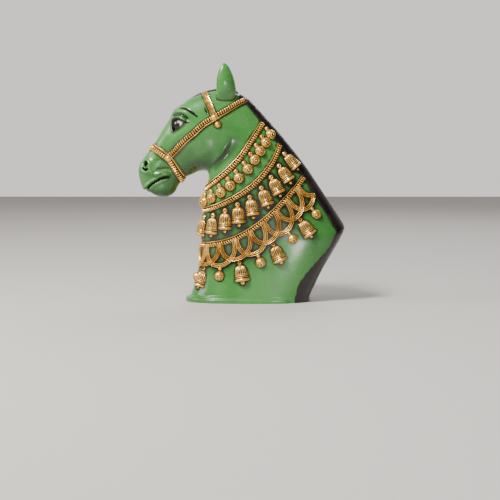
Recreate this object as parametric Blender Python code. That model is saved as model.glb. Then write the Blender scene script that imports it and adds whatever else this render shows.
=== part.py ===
"""Horse head figurine: one painted casting, cut off flat below the shoulder.

The horse looks along -X and stands on its underside at z = 0. The carving of
the animal is kept as shares of the figure's height. The halter, the necklaces
and the lip round the foot have sizes of their own, in metres, and are laid on
the carved skin wherever it is.
"""

import math

import bmesh
import bpy
import numpy as np
from mathutils import Matrix, Vector
from mathutils.bvhtree import BVHTree

# The figure, from its underside to the tips of its ears
HEIGHT = 0.300

# The lip round the foot
LIP_HEIGHT = 0.0052
LIP_STEP = 0.0030
LIP_FRONT_STEP = 0.0048
LIP_ROUND = 0.0012
LIP_END = 0.205

# How far every ornament is rooted in the neck
ROOT = 0.0020

# Halter straps
NOSEBAND_WIDTH = 0.0100
CHEEK_STRAP_WIDTH = 0.0080
STRAP_RISE = 0.0026
STRAP_BOSS_RADIUS = 0.0048
STRAP_DROP_RADIUS = 0.0044
STRAP_TOP_SHARE = 0.7

# Collar bands of the three necklaces
BAND_WIDTH = 0.0072
BAND_RISE = 0.0026

# Distance between the cross-sections of straps and bands
NOSEBAND_STEP = 0.0080
STRAP_STEP = 0.0100
BAND_STEP = 0.0110

# Upper necklace: round beads, each under a small cap
BEADS_A_SIDE = 10
BEAD_RADIUS = 0.0066
BEAD_CAP_RADIUS = 0.0032
BEAD_CAP_LENGTH = 0.0042
BEAD_DROP = 0.0175
BEADS_CROWD = 1.06
BEAD_LEAN = 21

# Middle necklace: bells side by side
BELLS_A_SIDE = 9
BELL_RADIUS = 0.0088
BELL_LENGTH = 0.0320
BELL_DROP = 0.0068
BELL_SUNK = 0.0020
BELLS_CROWD = 1.04
BELL_LEAN = 26

# Lower necklace: two sets of looped cords with bells and balls hung from them
LOOPS_A_SIDE = 8.85
LOOP_GAP = 0.0030
LOOP_LEAN = 13
LEAN_FADE = 0.1
FRONT_LOOP_DEPTH = 0.0255
REAR_LOOP_DEPTH = 0.0285
LOOP_CORD_WIDTH = 0.0052
LOOP_CORD_RISE = 0.0024
LOOP_CORD_OVERLAP = 0.0009
LOOP_START = 0.0005
LOOP_ROUNDNESS = 0.8
TASSEL_BELL_RADIUS = 0.0098
TASSEL_BELL_LENGTH = 0.0330
TASSEL_BALL_RADIUS = 0.0064
TASSEL_BALL_LENGTH = 0.0180
TASSEL_GAP = 0.0020
TASSEL_SUNK = 0.15

# Mane: side-view width at the poll and at the withers, and how far it stands up
MANE_WIDTH_POLL = 0.010
MANE_WIDTH_WITHERS = 0.036
MANE_RISE = 0.011
MANE_ROOT = 0.0040
MANE_START = 14.4
MANE_END = 22.9
MANE_SPREAD = 0.9
MANE_EDGE_RISE = 0.55
MANE_END_RISE = 0.35

# Rings of the carving, from the lips to the foot, as shares of the height: the
# crown line's x and z, the under line's x and z, the half width, where between
# the two lines the ring is widest, and how square its under and crown halves
# are, where 2 is an ellipse.
RINGS = np.array([
    # muzzle, swung round the mouth
    (-0.414, 0.472, -0.408, 0.468, 0.020, 0.50, 2.0, 2.0),
    (-0.426, 0.498, -0.385, 0.462, 0.040, 0.50, 2.2, 2.0),
    (-0.433, 0.530, -0.353, 0.445, 0.048, 0.52, 2.2, 2.3),
    (-0.433, 0.564, -0.315, 0.442, 0.053, 0.56, 2.1, 2.4),
    (-0.417, 0.596, -0.284, 0.460, 0.055, 0.58, 2.1, 2.4),
    (-0.398, 0.627, -0.265, 0.493, 0.053, 0.55, 2.2, 2.3),
    # nose and face
    (-0.375, 0.656, -0.240, 0.522, 0.055, 0.52, 2.3, 2.3),
    (-0.346, 0.703, -0.208, 0.537, 0.065, 0.55, 2.4, 2.4),
    (-0.318, 0.752, -0.181, 0.550, 0.080, 0.58, 2.5, 2.5),
    (-0.289, 0.796, -0.157, 0.553, 0.092, 0.60, 2.6, 2.6),
    (-0.250, 0.832, -0.143, 0.548, 0.095, 0.58, 2.6, 2.6),
    # forehead and poll, swung round the throat
    (-0.200, 0.861, -0.138, 0.539, 0.093, 0.54, 2.5, 2.4),
    (-0.142, 0.882, -0.137, 0.528, 0.090, 0.50, 2.4, 2.3),
    (-0.083, 0.890, -0.139, 0.517, 0.088, 0.48, 2.3, 2.2),
    (-0.028, 0.883, -0.142, 0.504, 0.088, 0.46, 2.2, 2.0),
    (0.023, 0.845, -0.148, 0.488, 0.090, 0.42, 2.2, 1.9),
    # neck
    (0.081, 0.783, -0.154, 0.467, 0.095, 0.40, 2.1, 1.8),
    (0.142, 0.715, -0.158, 0.439, 0.100, 0.38, 2.1, 1.8),
    (0.206, 0.637, -0.160, 0.403, 0.107, 0.36, 2.1, 1.8),
    (0.266, 0.559, -0.164, 0.358, 0.113, 0.36, 2.1, 1.9),
    (0.321, 0.477, -0.168, 0.305, 0.118, 0.38, 2.1, 2.0),
    # shoulder, turning down to the foot
    (0.379, 0.390, -0.170, 0.248, 0.122, 0.42, 2.1, 2.2),
    (0.417, 0.331, -0.171, 0.205, 0.123, 0.45, 2.1, 2.4),
    (0.434, 0.301, -0.172, 0.182, 0.123, 0.46, 2.1, 2.6),
    (0.421, 0.268, -0.175, 0.156, 0.124, 0.47, 2.1, 2.8),
    (0.387, 0.207, -0.188, 0.105, 0.126, 0.49, 2.2, 3.0),
    (0.343, 0.133, -0.204, 0.058, 0.128, 0.50, 2.3, 3.1),
    (0.310, 0.063, -0.215, 0.026, 0.129, 0.50, 2.5, 3.1),
    (0.290, 0.000, -0.222, 0.000, 0.130, 0.50, 2.6, 3.1),
])

# Rounded forms raised on the skin or pressed into it, in the side view and as
# shares of the height: centre x and z, half length, half height, turn in
# degrees, and rise.
FORMS = [
    ("eye socket", -0.272, 0.747, 0.040, 0.032, 0, -0.012),
    ("brow", -0.255, 0.797, 0.050, 0.020, -10, 0.008),
    ("cheek", -0.150, 0.650, 0.085, 0.075, 30, 0.007),
    ("cheek bone", -0.290, 0.665, 0.060, 0.016, 50, 0.004),
    ("nostril flare", -0.395, 0.570, 0.034, 0.030, 0, 0.008),
    ("lip roll", -0.345, 0.543, 0.040, 0.012, 5, 0.006),
    ("chin", -0.345, 0.470, 0.040, 0.026, 0, 0.006),
]

# Lines followed across the skin, in the side view and as shares of the height
JOWL_LINE = [(-0.134, 0.552), (-0.075, 0.610), (-0.045, 0.659), (-0.026, 0.705)]
JOWL_DEPTH = 0.022
JOWL_EDGE = 0.012
JOWL_REACH = 0.100
JOWL_START = 0.45
MOUTH_LINE = [(-0.428, 0.462), (-0.388, 0.487), (-0.355, 0.507), (-0.333, 0.520),
              (-0.311, 0.524), (-0.294, 0.526)]

# Courses over the skin: ring number and share of the way from the under line
# to the crown line.
NOSEBAND = [(5.70, 0.0), (5.97, 0.25), (6.28, 0.50), (6.10, 0.75), (5.85, 1.0)]
CHEEK_STRAP = [(6.30, 0.55), (7.90, 0.52), (9.90, 0.53), (11.80, 0.61), (12.75, 0.66),
               (13.90, 0.76), (14.70, 0.91), (14.95, 1.0)]
BROW_BAND = [(12.70, 0.65), (12.25, 0.76), (11.90, 0.87), (11.75, 1.0)]
HALTER_BOSSES = [(6.26, 0.53, STRAP_BOSS_RADIUS), (12.72, 0.655, STRAP_BOSS_RADIUS),
                 (13.20, 0.599, STRAP_DROP_RADIUS)]
UPPER_COLLAR = [(15.50, 0.0), (16.42, 0.25), (16.67, 0.50), (16.43, 0.75), (16.25, 1.0)]
MIDDLE_COLLAR = [(18.35, 0.0), (18.69, 0.25), (18.60, 0.50), (18.05, 0.75), (17.30, 1.0)]
LOWER_COLLAR = [(21.15, 0.0), (21.30, 0.25), (20.62, 0.50), (19.80, 0.75), (19.05, 1.0)]

# Eye, nostril, mouth and ears, as shares of the height
EYE_AT = (-0.274, 0.746)
EYE_RADIUS = 0.030
EYE_SUNK = 0.018
LID_LINE = [(-0.306, 0.752), (-0.291, 0.770), (-0.262, 0.769), (-0.240, 0.757), (-0.222, 0.751)]
LOWER_LID_LINE = [(-0.306, 0.752), (-0.297, 0.727), (-0.270, 0.722), (-0.247, 0.741)]
LID_WIDTH = 0.012
LID_RISE = 0.008
NOSTRIL_AT = (-0.402, 0.580)
NOSTRIL_RADIUS = 0.012
NOSTRIL_OUT = 0.0035
NOSTRIL_TALL = (0.8, 1.0, 1.3)
NOSTRIL_TURN = 20
MOUTH_DEPTH = 0.010
MOUTH_LIFT = 0.006
MOUTH_WIDTH = 0.0072
MOUTH_CORNER_SHARE = 0.25
# Ear rings: height, side-view front and rear, half thickness, place beside the middle plane
EAR_RINGS = [
    (0.800, -0.094, -0.036, 0.016, 0.040),
    (0.850, -0.108, -0.027, 0.026, 0.050),
    (0.885, -0.114, -0.022, 0.032, 0.054),
    (0.920, -0.113, -0.026, 0.031, 0.057),
    (0.948, -0.108, -0.034, 0.026, 0.060),
    (0.972, -0.099, -0.044, 0.019, 0.062),
    (0.990, -0.086, -0.054, 0.010, 0.064),
    (1.000, -0.076, -0.066, 0.003, 0.065),
]
EAR_HOLLOW = 1.10
EAR_HOLLOW_WIDTH = 0.38
EAR_HOLLOW_FROM = 0.35
EAR_HOLLOW_TO = 0.99
EAR_TURN = 12

# Fineness of the faceted solid
STEPS_HEAD = 2
STEPS_NECK = 1
NECK_FROM = 14
FACETS_HALF = 12
FINE_STEPS = 6
FINE_FACETS = 48
TURNED_SIDES = 6
EAR_SIDES = 12
EYE_SIDES = 10
NOSTRIL_SIDES = 8
LOOP_STEPS = 8
LID_STEPS = 6
MOUTH_STEPS = 10
MANE_STEP = 0.5
MANE_FACETS = 2
SECTION_STEPS = 96
CROWN_STEPS = 8
COURSE_STEPS = 240
WALK_STEP = 0.0020
FLAT_ANGLE = 5.5
SHARP_ANGLE = 40
MERGE_DISTANCE = 1e-5

GREEN = ("green_paint", (0.060, 0.270, 0.075), 0.32, 0.0)
GOLD = ("gold_paint", (0.640, 0.360, 0.110), 0.34, 0.75)
BLACK = ("black_paint", (0.016, 0.012, 0.010), 0.35, 0.0)


def smooth_row(rows, at):
    """The row at any fraction on the smooth curve through a list of rows."""
    rows = np.asarray(rows, float)
    last = len(rows) - 1
    at = min(max(at, 0.0), last)
    low = min(int(at), last - 1)
    f = at - low
    b, c = rows[low], rows[low + 1]
    a = rows[low - 1] if low > 0 else 2 * b - c
    d = rows[low + 2] if low + 2 <= last else 2 * c - b
    return 0.5 * (2 * b + (c - a) * f + (2 * a - 5 * b + 4 * c - d) * f ** 2
                  + (3 * b - a - 3 * c + d) * f ** 3)


def evenly(points, count):
    """Points at even distances along a chain of points."""
    points = np.asarray(points, float)
    steps = np.linalg.norm(np.diff(points, axis=0), axis=1)
    run = np.concatenate([[0.0], np.cumsum(steps)])
    at = np.linspace(0.0, run[-1], count)
    return np.stack([np.interp(at, run, points[:, k]) for k in range(points.shape[1])], 1)


def section(ring, facets):
    """One ring's near side, in metres, from the under line up to the crown line."""
    crown_x, crown_z, under_x, under_z, half, widest, low_square, top_square = smooth_row(RINGS, ring)
    angle = np.linspace(0.0, math.pi, SECTION_STEPS + 1)
    low = angle <= math.pi / 2
    power = 2 / np.where(low, low_square, top_square)
    reach = np.abs(np.cos(angle)) ** power
    along = np.where(low, widest * (1 - reach), widest + (1 - widest) * reach)
    out = half * np.abs(np.sin(angle)) ** power
    out[0] = out[-1] = 0.0
    curve = np.stack([under_x + (crown_x - under_x) * along, -out,
                      under_z + (crown_z - under_z) * along], 1)
    return evenly(curve, facets + 1) * HEIGHT


def distance_to_line(x, z, line):
    """Side-view distance from a chain of points, share along it, and side of it."""
    best, share, side = 9.0, 0.0, 1.0
    for k in range(len(line) - 1):
        ax, az = line[k]
        bx, bz = line[k + 1]
        dx, dz = bx - ax, bz - az
        t = min(max(((x - ax) * dx + (z - az) * dz) / (dx * dx + dz * dz), 0.0), 1.0)
        gap = math.hypot(x - ax - t * dx, z - az - t * dz)
        if gap < best:
            best = gap
            share = (k + t) / (len(line) - 1)
            side = math.copysign(1.0, dx * (z - az) - dz * (x - ax))
    return best, share, side


def relief(x, z):
    """Rise of the carved skin over its plain rings at a side-view place."""
    rise = 0.0
    for _, cx, cz, length, height, turn, top in FORMS:
        c, s = math.cos(math.radians(turn)), math.sin(math.radians(turn))
        a = ((x - cx) * c + (z - cz) * s) / length
        b = ((z - cz) * c - (x - cx) * s) / height
        rise += top * math.exp(-(a * a + b * b))
    gap, share, side = distance_to_line(x, z, JOWL_LINE)
    behind = gap if side < 0 else -gap
    fade = (1 - share ** 3) * min(share / JOWL_START, 1.0)
    if behind > -JOWL_EDGE:
        across = min((behind + JOWL_EDGE) / JOWL_REACH, 1.0)
        rise -= JOWL_DEPTH * fade * math.sin(math.pi * across ** 0.5) ** 2
    return rise


def lip_rings(foot):
    """The rings of the low lip cast round the foot, ending where the rear cut begins."""
    count = len(foot)
    rings = []
    for inset, height in ((LIP_ROUND, LIP_HEIGHT), (0.0, LIP_HEIGHT - LIP_ROUND), (0.0, 0.0)):
        ring = []
        for k in range(count):
            way = foot[(k + 1) % count] - foot[k - 1]
            out = Vector((-way.y, way.x, 0)).normalized()
            if out.dot(foot[k]) < 0:
                out = -out
            share = min(max((LIP_END * HEIGHT - foot[k].x) / (2 * LIP_STEP), 0.0), 1.0)
            step = LIP_STEP + (LIP_FRONT_STEP - LIP_STEP) * max(-out.x, 0.0) ** 2
            flat = Vector((foot[k].x, foot[k].y, height))
            ring.append(flat + out * (step - inset) * share)
        rings.append(ring)
    return rings


def carved_body(steps_head, steps_neck, facets):
    """The horse from lips to foot as one closed mesh."""
    last = len(RINGS) - 1
    rings = np.concatenate([np.arange(0, NECK_FROM, 1 / steps_head),
                            np.arange(NECK_FROM, last - 1, 1 / steps_neck), [last - 1, last]])
    bm = bmesh.new()
    loops = []
    for ring in rings:
        near = section(ring, facets)
        whole = [Vector(p) for p in np.concatenate([near, near[-2:0:-1] * (1, -1, 1)])]
        if ring == last:
            for p in whole:
                p.z = LIP_HEIGHT + LIP_ROUND
            loops.append([bm.verts.new(p) for p in whole])
            loops += [[bm.verts.new(p) for p in step] for step in lip_rings(whole)]
        else:
            loops.append([bm.verts.new(p) for p in whole])
    for low, high in zip(loops, loops[1:]):
        for k in range(len(low)):
            n = (k + 1) % len(low)
            bm.faces.new((low[k], low[n], high[n], high[k]))
    bm.faces.new(loops[0])
    bm.faces.new(loops[-1][::-1])
    bmesh.ops.recalc_face_normals(bm, faces=bm.faces)
    bm.normal_update()
    for loop in loops[:-4]:
        for v in loop:
            v.co += v.normal * relief(v.co.x / HEIGHT, v.co.z / HEIGHT) * HEIGHT
    bm.normal_update()
    return bm


class Skin:
    """The fine carved surface that ornaments are laid on."""

    def __init__(self):
        self.mesh = carved_body(FINE_STEPS, FINE_STEPS, FINE_FACETS)
        self.tree = BVHTree.FromBMesh(self.mesh)
        last = len(RINGS) - 1
        self.crown = [smooth_row(RINGS, k / CROWN_STEPS)[:2] for k in range(CROWN_STEPS * last + 1)]

    def nearest(self, point):
        place, normal, _, _ = self.tree.find_nearest(point)
        return place, normal

    def on_ring(self, ring, share):
        """The skin at a ring number and a share of the way up it."""
        near = section(ring, FINE_FACETS)
        at = share * FINE_FACETS
        k = min(int(at), FINE_FACETS - 1)
        return self.nearest(Vector(near[k] + (near[k + 1] - near[k]) * (at - k)))

    def from_side(self, x, z, side=-1):
        """The skin seen from the side at a place given as shares of the height."""
        start = Vector((x * HEIGHT, side * HEIGHT, z * HEIGHT))
        place, normal, _, _ = self.tree.ray_cast(start, Vector((0, -side, 0)))
        return place, normal

    def course(self, knots, count=COURSE_STEPS):
        """Places on the skin along a course of ring numbers and shares."""
        fine = [smooth_row(knots, k * (len(knots) - 1) / count) for k in range(count + 1)]
        return [self.on_ring(ring, min(max(share, 0.0), 1.0))[0] for ring, share in fine]

    def under_mane(self, point):
        """Whether a place on the skin is covered by the mane."""
        x, z = point.x / HEIGHT, point.z / HEIGHT
        gaps = [math.hypot(x - cx, z - cz) for cx, cz in self.crown]
        k = min(range(len(gaps)), key=gaps.__getitem__)
        return gaps[k] < mane_width(k / CROWN_STEPS)


def mane_width(ring):
    """Side-view width of the mane at a ring, nothing beyond its ends."""
    share = (ring - MANE_START) / (MANE_END - MANE_START)
    if share < 0 or share > 1:
        return 0.0
    return MANE_WIDTH_POLL + (MANE_WIDTH_WITHERS - MANE_WIDTH_POLL) * share ** MANE_SPREAD


def mirrored(point):
    return Vector((point.x, -point.y, point.z))


def across_front(points):
    """A near-side run that starts at the front line, carried on over the far side."""
    return [mirrored(p) for p in points[:0:-1]] + points


def resample(points, spacing):
    length = sum((b - a).length for a, b in zip(points, points[1:]))
    count = max(int(round(length / spacing)), 2) + 1
    return [Vector(p) for p in evenly(points, count)]


def strip(bm, skin, points, width, rise, closed=False):
    """A raised strap along points on the skin, with a rounded top, rooted in it."""
    half = width / 2
    top = STRAP_TOP_SHARE * half
    outline = [(-half, -ROOT), (-top, rise), (top, rise), (half, -ROOT)]
    rings = []
    count = len(points)
    for k, point in enumerate(points):
        before = points[(k - 1) % count] if closed else points[max(k - 1, 0)]
        after = points[(k + 1) % count] if closed else points[min(k + 1, count - 1)]
        place, normal = skin.nearest(point)
        side = (after - before).normalized().cross(normal).normalized()
        rings.append([bm.verts.new(place + side * a + normal * b) for a, b in outline])
    pairs = list(zip(rings, rings[1:]))
    if closed:
        pairs.append((rings[-1], rings[0]))
    for low, high in pairs:
        for k in range(len(outline)):
            n = (k + 1) % len(outline)
            bm.faces.new((low[k], low[n], high[n], high[k]))
    if not closed:
        bm.faces.new(rings[0])
        bm.faces.new(rings[-1][::-1])


def turned(bm, profile, matrix, straight=True):
    """A turned form: profile pairs of distance down the axis and radius.

    A straight one keeps its full width on the side towards the skin (+Y), so that
    nothing is undercut between it and the skin or its neighbours.
    """
    made = [bm.verts.new((radius, 0, -down)) for down, radius in profile]
    edges = [bm.edges.new(pair) for pair in zip(made, made[1:])]
    bmesh.ops.spin(bm, geom=made + edges, cent=(0, 0, 0), axis=(0, 0, 1),
                   angle=2 * math.pi, steps=TURNED_SIDES, use_merge=True)
    verts = {v for v in made if v.is_valid}
    grow = list(verts)
    while grow:
        v = grow.pop()
        for e in v.link_edges:
            o = e.other_vert(v)
            if o not in verts:
                verts.add(o)
                grow.append(o)
    for v in verts:
        if straight and v.co.y > 0:
            v.co.x = math.copysign(math.hypot(v.co.x, v.co.y), v.co.x)
    bmesh.ops.transform(bm, matrix=matrix, verts=list(verts))
    bmesh.ops.remove_doubles(bm, verts=list(verts), dist=MERGE_DISTANCE)


def facing(place, normal, down):
    """A frame whose -Z hangs down and whose -Y looks out of the skin."""
    down = (down - normal * down.dot(normal)).normalized()
    side = down.cross(normal)
    turn = Matrix((side, -normal, -down)).transposed().to_4x4()
    return Matrix.Translation(place) @ turn


class Necklace:
    """A collar band and the places that hang from it."""

    def __init__(self, skin, knots):
        self.skin = skin
        near = skin.course(knots)
        while skin.under_mane(near[-1]):
            near.pop()
        self.near = near
        run = [0.0]
        for a, b in zip(near, near[1:]):
            run.append(run[-1] + (b - a).length)
        self.run = run
        self.reach = run[-1]

    def at(self, distance):
        """The band's place and direction at a distance from the front line."""
        where = min(abs(distance), self.reach)
        k = min(range(len(self.run) - 1), key=lambda i: abs(self.run[i] - where))
        k = max(k, 1)
        after = min(k + 1, len(self.near) - 1)
        step = self.near[after] - self.near[k - 1]
        f = (where - self.run[k - 1]) / (self.run[k] - self.run[k - 1])
        place = self.near[k - 1].lerp(self.near[k], f)
        if where < MERGE_DISTANCE:
            step = Vector((0, -1, 0))
        if distance < 0:
            return mirrored(place), Vector((-step.x, step.y, -step.z)).normalized()
        return place, step.normalized()

    def hang(self, distance, drop, lean=0.0):
        """The skin a given drop from the band, and the way down there.

        A lean turns the drop from square to the band towards plumb, in degrees.
        """
        place, along = self.at(distance)
        place, normal = self.skin.nearest(place)
        down = along.cross(normal).normalized()
        if down.z > 0:
            down = -down
        share = min(abs(distance) / (LEAN_FADE * self.reach), 1.0)
        turn = -math.copysign(math.radians(lean) * share, distance)
        down.rotate(Matrix.Rotation(turn, 3, normal))
        steps = max(int(drop / WALK_STEP), 1)
        for _ in range(steps):
            down = (down - normal * down.dot(normal)).normalized()
            place, normal = self.skin.nearest(place + down * (drop / steps))
        down = (down - normal * down.dot(normal)).normalized()
        return place, normal, down

    def band(self, bm):
        whole = resample(across_front(self.near), BAND_STEP)
        strip(bm, self.skin, whole, BAND_WIDTH, BAND_RISE)

    def spaced(self, count, room, crowd=1.0):
        """Number and distance of each thing that hangs to both sides of the front line.

        A crowd over 1 sets them closer together at the front.
        """
        last = math.ceil(count)
        numbers = range(-last, last + 1)
        shares = [math.copysign((abs(k) / count) ** crowd, k) for k in numbers]
        return [(k, (self.reach - room) * share) for k, share in zip(numbers, shares)]


def bead_profile():
    """A small cap and the round bead under it, measured from the bead's middle."""
    r = BEAD_RADIUS
    cap = [(-r - BEAD_CAP_LENGTH, 0.0), (-r - BEAD_CAP_LENGTH, 0.9 * BEAD_CAP_RADIUS),
           (-r, BEAD_CAP_RADIUS)]
    ball = [(-r * math.cos(a), r * math.sin(a)) for a in np.radians((55, 95, 140))]
    return cap + ball + [(r, 0.0)]


def bell_profile(radius, length):
    """Cap ball, domed body, flared rim and clapper."""
    return [(0.00 * length, 0.0),
            (0.06 * length, 0.46 * radius),
            (0.18 * length, 0.44 * radius),
            (0.26 * length, 0.72 * radius),
            (0.76 * length, 1.00 * radius),
            (0.84 * length, 0.80 * radius),
            (0.86 * length, 0.36 * radius),
            (1.00 * length, 0.0)]


def ball_profile(radius, length):
    """Cap ball and fluted ball."""
    ball = length - 2 * radius
    return [(0.0, 0.0),
            (0.10 * length, 0.45 * radius),
            (ball, 0.40 * radius),
            (ball + 0.5 * radius, 0.90 * radius),
            (ball + 1.4 * radius, 0.95 * radius),
            (length, 0.0)]


def beads(bm, necklace):
    for _, distance in necklace.spaced(BEADS_A_SIDE, 0, BEADS_CROWD):
        place, normal, down = necklace.hang(distance, BEAD_DROP, BEAD_LEAN)
        turned(bm, bead_profile(), facing(place, normal, down))


def bells(bm, necklace):
    for _, distance in necklace.spaced(BELLS_A_SIDE, BELL_RADIUS / 2, BELLS_CROWD):
        middle, normal, down = necklace.hang(distance, BELL_DROP + BELL_LENGTH / 2, BELL_LEAN)
        top = middle - down * (BELL_LENGTH / 2) - normal * BELL_SUNK
        turned(bm, bell_profile(BELL_RADIUS, BELL_LENGTH), facing(top, normal, down))


def loops(bm, necklace, odd, depth, extra_rise):
    """One set of cord loops, every second place along the band."""
    width = 2 * necklace.reach / LOOPS_A_SIDE - LOOP_GAP
    for k, distance in necklace.spaced(LOOPS_A_SIDE, 0):
        if (k % 2 == 1) is not odd:
            continue
        points = []
        for angle in np.radians(np.linspace(-90, 90, LOOP_STEPS + 1)):
            along = distance + width / 2 * math.sin(angle)
            drop = LOOP_START + depth * math.cos(angle) ** LOOP_ROUNDNESS
            point, _, _ = necklace.hang(along, drop, LOOP_LEAN)
            if not necklace.skin.under_mane(point) and abs(along) < necklace.reach:
                points.append(point)
        if len(points) > 3:
            strip(bm, necklace.skin, points, LOOP_CORD_WIDTH, LOOP_CORD_RISE + extra_rise)


def tassels(bm, necklace):
    """Bells under the front loops and balls under the rear ones."""
    for k, distance in necklace.spaced(LOOPS_A_SIDE, 0):
        if abs(distance) > necklace.reach:
            continue
        bell = k % 2 == 1
        length = TASSEL_BELL_LENGTH if bell else TASSEL_BALL_LENGTH
        radius = TASSEL_BELL_RADIUS if bell else TASSEL_BALL_RADIUS
        profile = bell_profile(radius, length) if bell else ball_profile(radius, length)
        depth = FRONT_LOOP_DEPTH if bell else REAR_LOOP_DEPTH
        middle, normal, down = necklace.hang(distance, depth + TASSEL_GAP + length / 2, LOOP_LEAN)
        if necklace.skin.under_mane(middle):
            continue
        top = middle - down * (length / 2) - normal * TASSEL_SUNK * radius
        turned(bm, profile, facing(top, normal, down))


def finish(bm, name, paint, cutter=True):
    """An object from a mesh, outward faces, hidden when it is only a guide."""
    bmesh.ops.recalc_face_normals(bm, faces=bm.faces)
    mesh = bpy.data.meshes.new(name)
    bm.to_mesh(mesh)
    bm.free()
    mesh.materials.append(paint)
    mesh.shade_smooth()
    mesh.set_sharp_from_angle(angle=math.radians(SHARP_ANGLE))
    made = bpy.data.objects.new(name, mesh)
    bpy.context.collection.objects.link(made)
    if cutter:
        made.hide_render = True
        made.display_type = "WIRE"
    return made


def combine(body, other, operation, own=False):
    step = body.modifiers.new(other.name, "BOOLEAN")
    step.object = other
    step.operation = operation
    step.solver = "EXACT"
    step.use_self = own
    step.material_mode = "TRANSFER"


def painted(name, colour, rough, metal):
    paint = bpy.data.materials.new(name)
    paint.use_nodes = True
    shader = paint.node_tree.nodes["Principled BSDF"]
    shader.inputs["Base Color"].default_value = (*colour, 1.0)
    shader.inputs["Roughness"].default_value = rough
    shader.inputs["Metallic"].default_value = metal
    return paint


def mane(skin):
    """A raised strip over the crest, from the poll to the withers."""
    bm = bmesh.new()
    across = MANE_FACETS
    rows = []
    rings = np.arange(MANE_START, MANE_END + MANE_STEP / 2, MANE_STEP)
    for ring in rings:
        near = section(ring, FINE_FACETS)
        crown = near[-1]
        width = mane_width(ring) * HEIGHT
        k = FINE_FACETS
        while k > 1 and math.hypot(near[k][0] - crown[0], near[k][2] - crown[2]) < width:
            k -= 1
        side = evenly(near[k:], across + 1)
        whole = np.concatenate([side, side[-2::-1] * (1, -1, 1)])
        ends = min(ring - rings[0], rings[-1] - ring)
        tall = MANE_RISE * HEIGHT * min(MANE_END_RISE + ends, 1.0)
        top, low = [], []
        for n, p in enumerate(whole):
            place, normal = skin.nearest(Vector(p))
            normal.y = 0 if n == across else normal.y
            share = MANE_EDGE_RISE + (1 - MANE_EDGE_RISE) * (1 - abs(n - across) / across)
            top.append(bm.verts.new(place + normal.normalized() * tall * share))
            low.append(bm.verts.new(place - normal.normalized() * MANE_ROOT))
        rows.append(top + low[::-1])
    for a, b in zip(rows, rows[1:]):
        for k in range(len(a)):
            n = (k + 1) % len(a)
            bm.faces.new((a[k], a[n], b[n], b[k]))
    bm.faces.new(rows[0])
    bm.faces.new(rows[-1][::-1])
    return bm


def ear(bm, side):
    """One ear: a pointed leaf with its hollow looking forward and a little outward."""
    rings = []
    sides = EAR_SIDES
    foot, tip = EAR_RINGS[0][0], EAR_RINGS[-1][0]
    for height, front, rear, thick, apart in EAR_RINGS:
        share = (height - foot) / (tip - foot)
        ring = []
        for k in range(sides):
            angle = 2 * math.pi * k / sides
            x, y = math.cos(angle), math.sin(angle)
            if x < 0 and EAR_HOLLOW_FROM < share < EAR_HOLLOW_TO:
                x *= 1 - EAR_HOLLOW * math.exp(-(y / EAR_HOLLOW_WIDTH) ** 2)
            place = Vector(((rear - front) / 2 * x, side * thick * y, 0))
            place.rotate(Matrix.Rotation(math.radians(-side * EAR_TURN), 3, "Z"))
            middle = Vector(((front + rear) / 2, side * apart, height))
            ring.append(bm.verts.new((place + middle) * HEIGHT))
        rings.append(ring)
    for low, high in zip(rings, rings[1:]):
        for k in range(sides):
            n = (k + 1) % sides
            bm.faces.new((low[k], low[n], high[n], high[k]))
    bm.faces.new(rings[0][::-1])
    bm.faces.new(rings[-1])


def eyes(bm, skin):
    """Eyeballs with a raised lid above and below."""
    for side in (-1, 1):
        place, normal = skin.from_side(*EYE_AT, side)
        made = bmesh.ops.create_uvsphere(bm, u_segments=EYE_SIDES, v_segments=EYE_SIDES - 2,
                                         radius=EYE_RADIUS * HEIGHT)
        bmesh.ops.translate(bm, verts=made["verts"], vec=place - normal * EYE_SUNK * HEIGHT)
        for line in (LID_LINE, LOWER_LID_LINE):
            fine = [smooth_row(line, k * (len(line) - 1) / LID_STEPS) for k in range(LID_STEPS + 1)]
            points = [skin.from_side(x, z, side)[0] for x, z in fine]
            strip(bm, skin, points, LID_WIDTH * HEIGHT, LID_RISE * HEIGHT)


def mouth_and_nostrils(bm, skin):
    """What is cut into the muzzle: the slit of the mouth and two nostrils."""
    last = len(MOUTH_LINE) - 1
    fine = [smooth_row(MOUTH_LINE, k * last / MOUTH_STEPS) for k in range(MOUTH_STEPS + 1)]
    near = [skin.from_side(x, z)[0] for x, z in fine[1:]]
    front = skin.nearest(Vector((fine[0][0] * HEIGHT, 0, fine[0][1] * HEIGHT)))[0]
    points = [mirrored(p) for p in near[::-1]] + [front] + near
    rings = []
    for k, point in enumerate(points):
        place, normal = skin.nearest(point)
        way = points[min(k + 1, len(points) - 1)] - points[max(k - 1, 0)]
        side = way.normalized().cross(normal).normalized()
        ends = MOUTH_CORNER_SHARE if k in (0, len(points) - 1) else 1.0
        half = side * MOUTH_WIDTH * HEIGHT * ends
        above = place + normal * MOUTH_LIFT * HEIGHT
        below = place - normal * MOUTH_DEPTH * HEIGHT * ends
        rings.append([bm.verts.new(p) for p in (above - half, above + half, below)])
    for low, high in zip(rings, rings[1:]):
        for k in range(3):
            n = (k + 1) % 3
            bm.faces.new((low[k], low[n], high[n], high[k]))
    bm.faces.new(rings[0])
    bm.faces.new(rings[-1][::-1])
    for side in (-1, 1):
        place, normal = skin.from_side(*NOSTRIL_AT, side)
        made = bmesh.ops.create_uvsphere(bm, u_segments=NOSTRIL_SIDES, v_segments=NOSTRIL_SIDES - 2,
                                         radius=NOSTRIL_RADIUS * HEIGHT)
        turn = Matrix.Rotation(math.radians(NOSTRIL_TURN), 4, "Y")
        tall = Matrix.Diagonal((*NOSTRIL_TALL, 1.0))
        out = Matrix.Translation(place + normal * NOSTRIL_OUT * HEIGHT)
        bmesh.ops.transform(bm, matrix=out @ turn @ tall, verts=made["verts"])


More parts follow.
